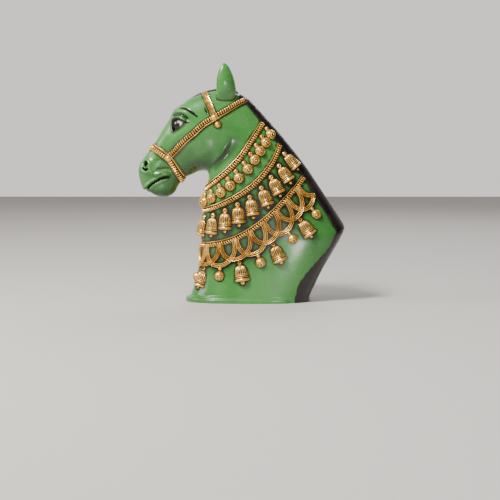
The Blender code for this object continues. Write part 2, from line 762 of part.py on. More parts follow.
def stud(bm, skin, point, radius):
    """A low round boss standing out of the skin."""
    place, normal = skin.nearest(point)
    profile = [(-radius * 0.85, 0.0), (-radius * 0.6, radius * 0.7), (0.0, radius), (ROOT, 0.0)]
    turn = normal.to_track_quat("Z", "Y").to_matrix().to_4x4()
    turned(bm, profile, Matrix.Translation(place) @ turn, straight=False)


def halter(bm, skin):
    """Noseband, cheek straps over the poll, brow band, and their bosses."""
    nose = skin.course(NOSEBAND)
    loop = nose[:-1] + [mirrored(p) for p in nose[:0:-1]]
    round_nose = resample(loop + loop[:1], NOSEBAND_STEP)[:-1]
    strip(bm, skin, round_nose, NOSEBAND_WIDTH, STRAP_RISE, closed=True)
    for knots in (CHEEK_STRAP, BROW_BAND):
        near = skin.course(knots)
        over = resample(near + [mirrored(p) for p in near[-2::-1]], STRAP_STEP)
        strip(bm, skin, over, CHEEK_STRAP_WIDTH, STRAP_RISE)
    for ring, share, radius in HALTER_BOSSES:
        place = skin.on_ring(ring, share)[0]
        stud(bm, skin, place, radius)
        stud(bm, skin, mirrored(place), radius)


def build():
    for old in list(bpy.data.objects):
        bpy.data.objects.remove(old)
    green, gold, black = (painted(*p) for p in (GREEN, GOLD, BLACK))
    skin = Skin()

    body = finish(carved_body(STEPS_HEAD, STEPS_NECK, FACETS_HALF), "horse_head", green, cutter=False)
    combine(body, finish(mane(skin), "mane", black), "UNION")

    bm = bmesh.new()
    mouth_and_nostrils(bm, skin)
    combine(body, finish(bm, "mouth and nostrils", green), "DIFFERENCE")

    bm = bmesh.new()
    for side in (-1, 1):
        ear(bm, side)
    combine(body, finish(bm, "ears", green), "UNION")
    bm = bmesh.new()
    eyes(bm, skin)
    combine(body, finish(bm, "eyes", green), "UNION", own=True)
    bm = bmesh.new()
    halter(bm, skin)
    combine(body, finish(bm, "halter", gold), "UNION", own=True)

    upper = Necklace(skin, UPPER_COLLAR)
    middle = Necklace(skin, MIDDLE_COLLAR)
    lower = Necklace(skin, LOWER_COLLAR)

    bm = bmesh.new()
    beads(bm, upper)
    combine(body, finish(bm, "beads", gold), "UNION", own=True)
    bm = bmesh.new()
    bells(bm, middle)
    combine(body, finish(bm, "bells", gold), "UNION", own=True)
    bm = bmesh.new()
    loops(bm, lower, False, REAR_LOOP_DEPTH, 0.0)
    tassels(bm, lower)
    combine(body, finish(bm, "rear loops and tassels", gold), "UNION", own=True)
    bm = bmesh.new()
    loops(bm, lower, True, FRONT_LOOP_DEPTH, LOOP_CORD_OVERLAP)
    combine(body, finish(bm, "front loops", gold), "UNION", own=True)
    bm = bmesh.new()
    for necklace in (upper, middle, lower):
        necklace.band(bm)
    combine(body, finish(bm, "bands", gold), "UNION", own=True)
    flat = body.modifiers.new("flat faces joined", "DECIMATE")
    flat.decimate_type = "DISSOLVE"
    flat.angle_limit = math.radians(FLAT_ANGLE)


build()
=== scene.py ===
"""Looks of the horse head figurine, a painted casting with raised harness.

The carving follows the same rings, courses and sizes as the solid, with a fine
skin. The carving's own numbers are shares of the figure's height.
"""

import math

import bmesh
import bpy
import numpy as np
from mathutils import Matrix, Vector
from mathutils.bvhtree import BVHTree


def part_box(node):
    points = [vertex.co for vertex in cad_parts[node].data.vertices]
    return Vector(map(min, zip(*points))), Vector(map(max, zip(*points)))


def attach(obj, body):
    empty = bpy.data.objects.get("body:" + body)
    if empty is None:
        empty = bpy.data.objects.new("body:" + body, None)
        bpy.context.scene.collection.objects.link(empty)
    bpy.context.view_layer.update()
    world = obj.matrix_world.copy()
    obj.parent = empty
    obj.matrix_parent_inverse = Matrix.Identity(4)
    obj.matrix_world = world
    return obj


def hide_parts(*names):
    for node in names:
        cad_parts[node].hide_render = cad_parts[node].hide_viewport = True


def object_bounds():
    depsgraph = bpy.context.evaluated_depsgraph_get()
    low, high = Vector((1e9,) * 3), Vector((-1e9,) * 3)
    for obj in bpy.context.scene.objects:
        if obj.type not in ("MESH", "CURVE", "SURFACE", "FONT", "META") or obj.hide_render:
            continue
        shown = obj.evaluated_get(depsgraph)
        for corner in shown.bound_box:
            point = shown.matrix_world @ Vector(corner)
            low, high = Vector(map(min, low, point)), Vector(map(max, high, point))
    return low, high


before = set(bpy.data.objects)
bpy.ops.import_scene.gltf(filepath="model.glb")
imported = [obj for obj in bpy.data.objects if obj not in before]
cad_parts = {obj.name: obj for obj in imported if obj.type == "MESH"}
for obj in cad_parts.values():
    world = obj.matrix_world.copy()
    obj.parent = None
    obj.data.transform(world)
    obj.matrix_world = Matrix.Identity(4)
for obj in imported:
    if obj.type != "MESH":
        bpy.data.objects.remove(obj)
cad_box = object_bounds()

BODY = "root"
NODE = "horse_head"
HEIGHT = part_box(NODE)[1].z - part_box(NODE)[0].z

# Foot's lip and harness: sizes in metres, counts a side, leans in degrees,
# and shares: where the lip ends, roots' spread, crowding, droop, fade and roundness
LIP_HEIGHT = 0.0052
LIP_STEP = 0.0030
LIP_FRONT_STEP = 0.0048
LIP_ROUND = 0.0012
LIP_END = 0.205
ROOT = 0.0016
ROOT_SPREAD = 0.42
NOSEBAND_WIDTH = 0.0100
CHEEK_STRAP_WIDTH = 0.0080
STRAP_RISE = 0.0026
STRAP_BOSS_RADIUS = 0.0048
STRAP_DROP_RADIUS = 0.0044
BAND_WIDTH = 0.0072
BAND_RISE = 0.0026
RIB_PITCH = 0.0031
RIB_STEP = RIB_PITCH / 7
STRAP_STEP = RIB_PITCH / 6
BEADS_A_SIDE = 10
BEAD_RADIUS = 0.0066
BEAD_CAP_RADIUS = 0.0030
BEAD_CAP_RISE = 0.0004
BEAD_DROP = 0.0175
BEADS_CROWD = 1.06
BOSS_DROOP = 0.42
BEAD_LEAN = 21
BELLS_A_SIDE = 9
BELL_RADIUS = 0.0088
BELL_LENGTH = 0.0320
BELL_DROP = 0.0068
BELL_SUNK = 0.0014
BELLS_CROWD = 1.04
BELL_LEAN = 26
LOOPS_A_SIDE = 8.85
LOOP_GAP = 0.0030
LOOP_LEAN = 13
LEAN_FADE = 0.1
HANG_STEP = 0.002
FRONT_LOOP_DEPTH = 0.0255
REAR_LOOP_DEPTH = 0.0285
LOOP_CORD_WIDTH = 0.0060
LOOP_CORD_RISE = 0.0024
LOOP_CORD_OVERLAP = 0.0009
LOOP_START = 0.0005
LOOP_ROUNDNESS = 0.8
LOOP_STEP = 0.0011
SHORTEST_LOOP = 12
TASSEL_BELL_RADIUS = 0.0098
TASSEL_BELL_LENGTH = 0.0330
TASSEL_BALL_RADIUS = 0.0064
TASSEL_BALL_LENGTH = 0.0180
TASSEL_GAP = 0.0020
TASSEL_BELL_SUNK = 0.002646
TASSEL_BALL_SUNK = 0.000512

# Mane: start and end as ring numbers, widths and rise as shares of the height,
# the power its width grows by, and the rise of its edge and ends as shares of its own
MANE_WIDTH_POLL = 0.010
MANE_WIDTH_WITHERS = 0.036
MANE_RISE = 0.011
MANE_START = 14.4
MANE_END = 22.9
MANE_SPREAD = 0.9
MANE_EDGE_RISE = 0.55
MANE_END_RISE = 0.35
# Its root and hair lines, in metres
MANE_ROOT = 0.0040
HAIR_RISE = 0.00022

# Rings of the carving: crown line x and z, under line x and z, half width,
# where the ring is widest, and how square its under and crown halves are.
RINGS = np.array([
    # muzzle
    (-0.414, 0.472, -0.408, 0.468, 0.020, 0.50, 2.0, 2.0),
    (-0.426, 0.498, -0.385, 0.462, 0.040, 0.50, 2.2, 2.0),
    (-0.433, 0.530, -0.353, 0.445, 0.048, 0.52, 2.2, 2.3),
    (-0.433, 0.564, -0.315, 0.442, 0.053, 0.56, 2.1, 2.4),
    (-0.417, 0.596, -0.284, 0.460, 0.055, 0.58, 2.1, 2.4),
    (-0.398, 0.627, -0.265, 0.493, 0.053, 0.55, 2.2, 2.3),
    # nose and face
    (-0.375, 0.656, -0.240, 0.522, 0.055, 0.52, 2.3, 2.3),
    (-0.346, 0.703, -0.208, 0.537, 0.065, 0.55, 2.4, 2.4),
    (-0.318, 0.752, -0.181, 0.550, 0.080, 0.58, 2.5, 2.5),
    (-0.289, 0.796, -0.157, 0.553, 0.092, 0.60, 2.6, 2.6),
    (-0.250, 0.832, -0.143, 0.548, 0.095, 0.58, 2.6, 2.6),
    # forehead and poll
    (-0.200, 0.861, -0.138, 0.539, 0.093, 0.54, 2.5, 2.4),
    (-0.142, 0.882, -0.137, 0.528, 0.090, 0.50, 2.4, 2.3),
    (-0.083, 0.890, -0.139, 0.517, 0.088, 0.48, 2.3, 2.2),
    (-0.028, 0.883, -0.142, 0.504, 0.088, 0.46, 2.2, 2.0),
    (0.023, 0.845, -0.148, 0.488, 0.090, 0.42, 2.2, 1.9),
    # neck
    (0.081, 0.783, -0.154, 0.467, 0.095, 0.40, 2.1, 1.8),
    (0.142, 0.715, -0.158, 0.439, 0.100, 0.38, 2.1, 1.8),
    (0.206, 0.637, -0.160, 0.403, 0.107, 0.36, 2.1, 1.8),
    (0.266, 0.559, -0.164, 0.358, 0.113, 0.36, 2.1, 1.9),
    (0.321, 0.477, -0.168, 0.305, 0.118, 0.38, 2.1, 2.0),
    # shoulder
    (0.379, 0.390, -0.170, 0.248, 0.122, 0.42, 2.1, 2.2),
    (0.417, 0.331, -0.171, 0.205, 0.123, 0.45, 2.1, 2.4),
    (0.434, 0.301, -0.172, 0.182, 0.123, 0.46, 2.1, 2.6),
    (0.421, 0.268, -0.175, 0.156, 0.124, 0.47, 2.1, 2.8),
    (0.387, 0.207, -0.188, 0.105, 0.126, 0.49, 2.2, 3.0),
    (0.343, 0.133, -0.204, 0.058, 0.128, 0.50, 2.3, 3.1),
    (0.310, 0.063, -0.215, 0.026, 0.129, 0.50, 2.5, 3.1),
    (0.290, 0.000, -0.222, 0.000, 0.130, 0.50, 2.6, 3.1),
])
LAST_RING = len(RINGS) - 1

# Rounded forms: side-view centre, half length, half height, turn and rise
FORMS = [
    ("eye socket", -0.272, 0.747, 0.040, 0.032, 0, -0.012),
    ("brow", -0.255, 0.797, 0.050, 0.020, -10, 0.008),
    ("cheek", -0.150, 0.650, 0.085, 0.075, 30, 0.007),
    ("cheek bone", -0.290, 0.665, 0.060, 0.016, 50, 0.004),
    ("nostril flare", -0.395, 0.570, 0.034, 0.030, 0, 0.008),
    ("lip roll", -0.345, 0.543, 0.040, 0.012, 5, 0.006),
    ("chin", -0.345, 0.470, 0.040, 0.026, 0, 0.006),
]
JOWL_LINE = [(-0.134, 0.552), (-0.075, 0.610), (-0.045, 0.659), (-0.026, 0.705)]
JOWL_DEPTH = 0.022
JOWL_EDGE = 0.012
JOWL_REACH = 0.100
JOWL_START = 0.45

# Courses of the harness: ring number and share of the way up the ring
NOSEBAND = [(5.70, 0.0), (5.97, 0.25), (6.28, 0.50), (6.10, 0.75), (5.85, 1.0)]
CHEEK_STRAP = [(6.30, 0.55), (7.90, 0.52), (9.90, 0.53), (11.80, 0.61), (12.75, 0.66),
               (13.90, 0.76), (14.70, 0.91), (14.95, 1.0)]
BROW_BAND = [(12.70, 0.65), (12.25, 0.76), (11.90, 0.87), (11.75, 1.0)]
HALTER_BOSSES = [(6.26, 0.53, STRAP_BOSS_RADIUS), (12.72, 0.655, STRAP_BOSS_RADIUS),
                 (13.20, 0.599, STRAP_DROP_RADIUS)]
UPPER_COLLAR = [(15.50, 0.0), (16.42, 0.25), (16.67, 0.50), (16.43, 0.75), (16.25, 1.0)]
MIDDLE_COLLAR = [(18.35, 0.0), (18.69, 0.25), (18.60, 0.50), (18.05, 0.75), (17.30, 1.0)]
LOWER_COLLAR = [(21.15, 0.0), (21.30, 0.25), (20.62, 0.50), (19.80, 0.75), (19.05, 1.0)]

# The eye: its opening, the paint on the ball, and the lids and brow round it
EYE_AT = (-0.268, 0.745)
EYE_RADIUS = 0.034
EYE_SUNK = 0.0275
EYE_OPENING = [(-0.288, 0.764), (-0.279, 0.7685), (-0.268, 0.7678), (-0.2554, 0.7632),
               (-0.2395, 0.7545), (-0.248, 0.743), (-0.2608, 0.7315), (-0.275, 0.723),
               (-0.2868, 0.72), (-0.2905, 0.742)]
IRIS_AT = (-0.2725, 0.744)
IRIS_SIZE = (0.0165, 0.0225)
PUPIL_SIZE = (0.0085, 0.0115)
GLINT_AT = (-0.2755, 0.753)
GLINT_SIZE = (0.002, 0.0022)
LASH_LINE = [(-0.289, 0.761), (-0.2795, 0.769), (-0.268, 0.7685), (-0.2554, 0.764),
             (-0.2366, 0.7563), (-0.2194, 0.7539)]
LID_FOLD = [(-0.283, 0.776), (-0.2659, 0.7775), (-0.2446, 0.7705), (-0.2261, 0.7605)]
LID_CREASE = [(-0.29, 0.774), (-0.2755, 0.785), (-0.2525, 0.786), (-0.2316, 0.7745),
              (-0.216, 0.759)]
BROW_CREASE = [(-0.256, 0.8145), (-0.2286, 0.8095), (-0.2119, 0.8), (-0.198, 0.7899),
               (-0.1825, 0.7773)]
BROW_BULGE = np.array(BROW_CREASE) - (0.002, 0.013)
TEMPLE_LINE = [(-0.154, 0.815), (-0.1465, 0.801), (-0.1405, 0.7844)]

# Muzzle and cheek
NOSTRIL_PIT = (-0.3999, 0.58, 0.0085, 0.012)
NOSTRIL_SLIT = [(-0.4137, 0.5658), (-0.4074, 0.5573), (-0.3977, 0.5557), (-0.3914, 0.5636)]
NOSTRIL_RIM = (-0.401, 0.569, 0.02, 0.0255)
MOUTH_LINE = [(-0.415, 0.464), (-0.397, 0.4749), (-0.3771, 0.4943), (-0.3573, 0.5065),
              (-0.3378, 0.5179), (-0.3125, 0.5247), (-0.299, 0.52)]
LIP_FOLD = [(-0.372, 0.544), (-0.3632, 0.5487), (-0.3463, 0.5571), (-0.3125, 0.5614),
            (-0.2957, 0.5517)]
LIP_ROLL = [(-0.364, 0.529), (-0.3573, 0.533), (-0.3294, 0.5458), (-0.3011, 0.544)]
NOSE_HOLLOW = [(-0.3489, 0.5965), (-0.3771, 0.5658)]
NOSE_RIDGE = [(-0.3404, 0.5881), (-0.3489, 0.5686)]
CHEEK_HOLLOW = [(-0.2035, 0.6223), (-0.1729, 0.6557)]

# Ridges, and grooves where the rise is negative: line, width, rise and taper at the ends
FACE_LINES = [
    (LID_FOLD, 0.0058, 0.005, 0.2),
    (LID_CREASE, 0.006, -0.0085, 0.2),
    (BROW_CREASE, 0.005, -0.0022, 0.25),
    (BROW_BULGE, 0.009, 0.0024, 0.25),
    (TEMPLE_LINE, 0.003, -0.0025, 0.3),
    (NOSTRIL_SLIT, 0.0038, -0.014, 0.2),
    (MOUTH_LINE, 0.0036, -0.0075, 0.1),
    (LIP_FOLD, 0.006, -0.0045, 0.25),
    (LIP_ROLL, 0.006, 0.0035, 0.2),
    (NOSE_HOLLOW, 0.01, -0.0028, 0),
    (NOSE_RIDGE, 0.0065, 0.003, 0),
    (CHEEK_HOLLOW, 0.024, -0.003, 0),
]
EYE_DEPTH = 0.0125
LID_RISE = 0.005
NOSTRIL_DEPTH = 0.02
NOSTRIL_RIM_RISE = 0.0024
LIPS_RISE = 0.006
LOWER_LIP = 0.25

# Places on the face that get a finer skin: centre, radius and cuts in each edge
FINE_PLACES = [(-0.262, 0.756, 0.075, 1), (-0.262, 0.755, 0.05, 1), (-0.402, 0.57, 0.045, 1),
               (-0.402, 0.569, 0.032, 1), (-0.35, 0.51, 0.085, 1), (-0.147, 0.8, 0.03, 3)]

# Line from the withers to the foot where the dark cut face begins
CUT_LINE = [(0.460, 0.330), (0.4005, 0.2952), (0.3655, 0.2290), (0.3235, 0.1828), (0.2700, 0.1228),
            (0.2425, 0.0800), (0.2265, 0.0287), (0.2215, -0.050)]

# Forelock: ring numbers, width as a share of the height, rise and step in metres
FORELOCK_FROM = 10.1
FORELOCK_TO = 14.3
FORELOCK_WIDTH = 0.020
FORELOCK_RISE = 0.0021
FORELOCK_STEP = 0.0012

# Ear rings: height, side-view front and rear, half thickness, place beside the middle plane
EAR_RINGS = [
    (0.800, -0.094, -0.036, 0.006, 0.036),
    (0.850, -0.108, -0.027, 0.017, 0.046),
    (0.885, -0.114, -0.022, 0.028, 0.053),
    (0.920, -0.113, -0.026, 0.031, 0.057),
    (0.948, -0.108, -0.034, 0.026, 0.060),
    (0.972, -0.099, -0.044, 0.019, 0.062),
    (0.990, -0.086, -0.054, 0.010, 0.064),
    (1.000, -0.076, -0.066, 0.003, 0.065),
]
EAR_HOLLOW = 1.10
EAR_HOLLOW_WIDTH = 0.38
EAR_TURN = 12


def smooth_rows(rows, at):
    """Rows at an array of fractions on the smooth curve through a list of rows."""
    rows = np.asarray(rows, float)
    last = len(rows) - 1
    at = np.clip(np.atleast_1d(np.asarray(at, float)), 0.0, last)
    low = np.minimum(at.astype(int), last - 1)
    f = (at - low)[:, None]
    b, c = rows[low], rows[low + 1]
    a = np.where((low > 0)[:, None], rows[np.maximum(low - 1, 0)], 2 * b - c)
    d = np.where((low + 2 <= last)[:, None], rows[np.minimum(low + 2, last)], 2 * c - b)
    return 0.5 * (2 * b + (c - a) * f + (2 * a - 5 * b + 4 * c - d) * f ** 2
                  + (3 * b - a - 3 * c + d) * f ** 3)


def smooth_line(line, count=40):
    return smooth_rows(line, np.linspace(0, len(line) - 1, count))


def smoothstep(low, high, value):
    t = np.clip((np.asarray(value, float) - low) / (high - low), 0.0, 1.0)
    return t * t * (3 - 2 * t)


def swell(value, at, width):
    return np.exp(-((value - at) / width) ** 2)


def ends_faded(share, taper):
    return smoothstep(0, taper, share) * smoothstep(0, taper, 1 - share) if taper else 1.0


def oval(x, z, form):
    """Distance from an oval's centre in the side view, 1 on its edge."""
    cx, cz, length, height = form
    return np.hypot((x - cx) / length, (z - cz) / height)


def plain_places(ring, share, samples=160):
    """Near-side places, in metres, at arrays of ring numbers and shares up the ring."""
    levels, which = np.unique(np.round(ring, 6), return_inverse=True)
    rows = smooth_rows(RINGS, levels)[:, :, None]
    crown_x, crown_z, under_x, under_z, half, widest, low_square, top_square = rows.transpose(1, 0, 2)
    angle = np.linspace(0.0, math.pi, samples + 1)[None, :]
    power = 2 / np.where(angle <= math.pi / 2, low_square, top_square)
    reach = np.abs(np.cos(angle)) ** power
    along = np.where(angle <= math.pi / 2, widest * (1 - reach), widest + (1 - widest) * reach)
    out = half * np.abs(np.sin(angle)) ** power
    out[:, 0] = out[:, -1] = 0.0
    curve = np.stack([under_x + (crown_x - under_x) * along, -out,
                      under_z + (crown_z - under_z) * along], 2)
    steps = np.linalg.norm(np.diff(curve, axis=1), axis=2)
    run = np.concatenate([np.zeros((len(levels), 1)), np.cumsum(steps, 1)], 1)
    line = (run / run[:, -1:] + 2 * np.arange(len(levels))[:, None]).ravel()
    wanted = share + 2 * which
    first = which * (samples + 1)
    at = np.clip(np.searchsorted(line, wanted, side="right") - 1, first, first + samples - 1)
    f = ((wanted - line[at]) / np.maximum(line[at + 1] - line[at], 1e-12))[:, None]
    flat = curve.reshape(-1, 3)
    return (flat[at] * (1 - f) + flat[at + 1] * f) * HEIGHT


def to_line(x, z, line):
    """Side-view distance from a line, share along it, and side of it, for arrays of places."""
    best = np.full(len(x), 9.0)
    share = np.zeros(len(x))
    side = np.ones(len(x))
    last = len(line) - 1
    for k in range(last):
        (ax, az), (bx, bz) = line[k], line[k + 1]
        dx, dz = bx - ax, bz - az
        t = np.clip(((x - ax) * dx + (z - az) * dz) / (dx * dx + dz * dz + 1e-15), 0.0, 1.0)
        gap = np.hypot(x - ax - t * dx, z - az - t * dz)
        near = gap < best
        best = np.where(near, gap, best)
        share = np.where(near, (k + t) / last, share)
        side = np.where(near, np.sign(dx * (z - az) - dz * (x - ax)), side)
    return best, share, side


def inside(x, z, outline):
    """Whether places lie inside a closed side-view outline."""
    within = np.zeros(len(x), bool)
    for (ax, az), (bx, bz) in zip(outline, outline[1:]):
        crosses = (az > z) != (bz > z)
        within ^= crosses & (x < ax + (z - az) * (bx - ax) / (bz - az + 1e-15))
    return within


def closed_curve(knots, count=80):
    """A smooth outline through knots that ends where it starts."""
    knots = np.asarray(knots, float)
    around = np.concatenate([knots[-2:], knots, knots[:3]])
    return smooth_rows(around, 2 + np.linspace(0, len(knots), count + 1))


EYE_OUTLINE = closed_curve(EYE_OPENING)


def eye_distance(x, z):
    """Distance outside the eye's opening, negative inside it."""
    gap, _, _ = to_line(x, z, EYE_OUTLINE)
    return np.where(inside(x, z, EYE_OUTLINE), -gap, gap)


def broad_relief(x, z):
    """The rise of the broad forms over the plain rings, as in the solid."""
    rise = np.zeros(len(x))
    for _, cx, cz, length, height, turn, top in FORMS:
        c, s = math.cos(math.radians(turn)), math.sin(math.radians(turn))
        a = ((x - cx) * c + (z - cz) * s) / length
        b = ((z - cz) * c - (x - cx) * s) / height
        rise += top * np.exp(-(a * a + b * b))
    gap, share, side = to_line(x, z, JOWL_LINE)
    behind = np.where(side < 0, gap, -gap)
    across = np.clip((behind + JOWL_EDGE) / JOWL_REACH, 0.0, 1.0)
    fade = (1 - share ** 2) ** 2 * np.minimum(share / JOWL_START, 1.0)
    rise -= JOWL_DEPTH * fade * np.sin(math.pi * across ** 0.5) ** 2
    return rise


def ridge(x, z, line, width, top, taper):
    """A rounded ridge, or a groove where top is negative, along a line."""
    gap, share, _ = to_line(x, z, smooth_line(line))
    return top * swell(gap, 0, width) * ends_faded(share, taper)


def fine_relief(x, z):
    """Lids, brows, nostrils, lips and the creases of the face."""
    rise = np.zeros(len(x))
    face = (x < -0.10) & (z > 0.43)
    x, z = x[face], z[face]
    eye = eye_distance(x, z)
    made = LID_RISE * swell(eye, 0.0035, 0.0045) - EYE_DEPTH * smoothstep(0.0008, -0.0030, eye)
    for line in FACE_LINES:
        made += ridge(x, z, *line)
    made -= NOSTRIL_DEPTH * smoothstep(1.25, 0.55, oval(x, z, NOSTRIL_PIT))
    made += NOSTRIL_RIM_RISE * swell(oval(x, z, NOSTRIL_RIM), 1.0, 0.30)
    gap, share, side = to_line(x, z, smooth_line(MOUTH_LINE))
    lips = ends_faded(share, 0.15) * np.where(side > 0, 1.0, LOWER_LIP)
    rise[face] = made + LIPS_RISE * swell(gap, 0.0105, 0.0075) * lips
    return rise


def ring_and_share(bm, layers):
    return [np.array([v[layer] for v in bm.verts]) for layer in layers]


def move_to(bm, places):
    for v, place in zip(bm.verts, places.tolist()):
        v.co = place


def finer_face(bm, layers):
    """Finer faces round the eye, the nostril, the mouth and the temple of the half figure."""
    for cx, cz, radius, cuts in FINE_PLACES:
        edges = set()
        for face in bm.faces:
            middle = face.calc_center_median() / HEIGHT
            if math.hypot(middle.x - cx, middle.z - cz) < radius:
                edges.update(face.edges)
        bmesh.ops.subdivide_edges(bm, edges=list(edges), cuts=cuts, use_grid_fill=True)
        move_to(bm, plain_places(*ring_and_share(bm, layers)))


def carved_half(steps, facets, finer):
    """The near half of the figure down to the top of the foot's lip."""
    bm = bmesh.new()
    layers = [bm.verts.layers.float.new(name) for name in ("ring", "share")]
    bmesh.ops.create_grid(bm, x_segments=facets, y_segments=LAST_RING * steps, size=1.0)
    for v in bm.verts:
        v[layers[0]] = round((v.co.y + 1) / 2 * LAST_RING * steps) / steps
        v[layers[1]] = round((v.co.x + 1) / 2 * facets) / facets
    move_to(bm, plain_places(*ring_and_share(bm, layers)))
    if finer:
        finer_face(bm, layers)
    ring, share = ring_and_share(bm, layers)
    places = plain_places(ring, share)
    bm.normal_update()
    normals = np.array([v.normal[:] for v in bm.verts])
    if normals[np.argmin(places[:, 1])][1] > 0:
        normals *= -1
    on_middle = (share < 1e-5) | (share > 1 - 1e-5)
    normals[on_middle, 1] = 0.0
    normals /= np.maximum(np.linalg.norm(normals, axis=1), 1e-9)[:, None]
    x, z = places[:, 0] / HEIGHT, places[:, 2] / HEIGHT
    rise = broad_relief(x, z) + (fine_relief(x, z) if finer else 0.0)
    above_foot = smoothstep(LAST_RING, LAST_RING - 1, ring)
    places += normals * (rise * HEIGHT * above_foot)[:, None]
    knee = plain_places(np.full(len(ring), LAST_RING - 1.0), share)[:, 2]
    down = np.clip(ring - (LAST_RING - 1), 0.0, 1.0)
    low = ring > LAST_RING - 1
    places[low, 2] = (knee * (1 - down) + (LIP_HEIGHT + LIP_ROUND) * down)[low]
    places[on_middle, 1] = 0.0
    # The fine lips and nose stay within the solid's foremost point
    places[:, 0] = np.maximum(places[:, 0], cad_box[0][0])
    move_to(bm, places)
    return bm, layers[0]


def whole_figure(bm):
    """The half figure mirrored over the middle plane, seams closed, faces out."""
    bmesh.ops.mirror(bm, geom=bm.verts[:] + bm.edges[:] + bm.faces[:], matrix=Matrix.Identity(4),
                     merge_dist=1e-6, axis="Y")
    bmesh.ops.remove_doubles(bm, verts=bm.verts, dist=1e-6)
    border = [e for e in bm.edges if e.is_boundary]
    bmesh.ops.holes_fill(bm, edges=border, sides=0)
    bmesh.ops.recalc_face_normals(bm, faces=bm.faces)
    bm.normal_update()


LIP_PROFILE = [(0.10, 1.13), (0.45, 1.03), (0.80, 0.96), (0.97, 0.78), (1.0, 0.50), (0.98, 0.18),
               (0.90, 0.0)]


def add_lip(bm, ring_layer):
    """The lip round the foot, extruded from the lowest ring of the near half."""
    foot = sorted((v for v in bm.verts if v[ring_layer] > LAST_RING - 1e-4), key=lambda v: v.co.x)
    plan = [v.co.copy() for v in foot]
    outs, shares = [], []
    for k, place in enumerate(plan):
        way = plan[min(k + 1, len(plan) - 1)] - plan[max(k - 1, 0)]
        out = Vector((way.y, -way.x, 0)).normalized()
        if abs(place.y) < 1e-6:
            out = Vector((math.copysign(1.0, place.x), 0, 0))
        outs.append(out)
        shares.append(float(np.clip((LIP_END * HEIGHT - place.x) / (2 * LIP_STEP), 0.0, 1.0)))
    steps = [LIP_STEP + (LIP_FRONT_STEP - LIP_STEP) * max(-out.x, 0.0) ** 2 for out in outs]
    line = foot
    for reach, height in LIP_PROFILE:
        edges = {e for v in line for e in v.link_edges if e.other_vert(v) in line}
        made = bmesh.ops.extrude_edge_only(bm, edges=list(edges))["geom"]
        line = sorted((v for v in made if isinstance(v, bmesh.types.BMVert)), key=lambda v: v.co.x)
        for v, place, out, share, step in zip(line, plan, outs, shares, steps):
            v.co = place + out * step * reach * share
            v.co.z = LIP_HEIGHT * height


def mane_width(ring):
    """Side-view width of the mane at a ring, nothing beyond its ends."""
    share = (ring - MANE_START) / (MANE_END - MANE_START)
    if share < 0 or share > 1:
        return 0.0
    return MANE_WIDTH_POLL + (MANE_WIDTH_WITHERS - MANE_WIDTH_POLL) * share ** MANE_SPREAD


class Skin:
    """The carved surface that ornaments are laid on."""

    def __init__(self, steps=6, facets=48):
        bm, _ = carved_half(steps, facets, finer=False)
        whole_figure(bm)
        self.tree = BVHTree.FromBMesh(bm)
        bm.free()
        self.levels = np.arange(0, LAST_RING + 0.01, 0.125)
        self.crown = smooth_rows(RINGS, self.levels)[:, :2]

    def nearest(self, point):
        place, normal, _, _ = self.tree.find_nearest(point)
        return place, normal

    def on_ring(self, ring, share):
        near = plain_places(np.array([ring]), np.array([share]))[0]
        return self.nearest(Vector(near))

    def from_side(self, x, z, side=-1):
        start = Vector((x * HEIGHT, side * HEIGHT, z * HEIGHT))
        place, normal, _, _ = self.tree.ray_cast(start, Vector((0, -side, 0)))
        return place, normal

    def course(self, knots, count=240):
        fine = smooth_rows(knots, np.linspace(0, len(knots) - 1, count + 1))
        places = plain_places(fine[:, 0], np.clip(fine[:, 1], 0, 1))
        return [self.nearest(Vector(p))[0] for p in places.tolist()]

    def under_mane(self, point):
        gaps = np.hypot(*(self.crown - (point.x / HEIGHT, point.z / HEIGHT)).T)
        k = int(np.argmin(gaps))
        return gaps[k] < mane_width(self.levels[k])


def mirrored(point):
    return Vector((point.x, -point.y, point.z))


def across_front(points):
    """A near-side run that starts at the front line, carried on over the far side."""
    return [mirrored(p) for p in points[:0:-1]] + points


def evenly(points, spacing):
    """Points at even distances along a chain of points."""
    chain = np.array([p[:] for p in points])
    run = np.concatenate([[0.0], np.cumsum(np.linalg.norm(np.diff(chain, axis=0), axis=1))])
    count = max(int(round(run[-1] / spacing)), 2) + 1
    at = np.linspace(0.0, run[-1], count)
    places = np.stack([np.interp(at, run, chain[:, k]) for k in range(3)], 1)
    return [Vector(p) for p in places.tolist()]


def wrapped(bm, rows, closed=False):
    """A grid bent round into a tube through rows of places, its ends filled."""
    if closed:
        rows = list(rows) + [rows[0]]
    around = len(rows[0])
    made = bmesh.ops.create_grid(bm, x_segments=around, y_segments=len(rows) - 1, size=1.0)["verts"]
    for k, v in enumerate(made):
        v.co = rows[k // (around + 1)][k % (around + 1) % around]
    bmesh.ops.remove_doubles(bm, verts=made, dist=1e-7)
    kept = [v for v in made if v.is_valid]
    border = {e for v in kept for e in v.link_edges if e.is_boundary}
    bmesh.ops.holes_fill(bm, edges=list(border), sides=0)
    return kept


def strip(bm, skin, points, width, profile, closed=False):
    """A raised strap over the skin.

    The profile gives heights over the skin, in metres, at even places across,
    for a distance along the strap.
    """
    rows = []
    count = len(points)
    run = 0.0
    for k, point in enumerate(points):
        before = points[(k - 1) % count] if closed else points[max(k - 1, 0)]
        after = points[(k + 1) % count] if closed else points[min(k + 1, count - 1)]
        run += (point - points[k - 1]).length if k else 0.0
        place, normal = skin.nearest(point)
        side = (after - before).cross(normal).normalized()
        heights = profile(run)
        row = []
        for t, height in zip(np.linspace(-1, 1, len(heights)), heights):
            low, out = skin.nearest(place + side * (t * width / 2))
            row.append(low + out * float(height))
        row.append(place + side * (width * ROOT_SPREAD) - normal * ROOT)
        row.append(place - side * (width * ROOT_SPREAD) - normal * ROOT)
        rows.append(row)
    wrapped(bm, rows, closed)


ACROSS = np.linspace(-1, 1, 13)


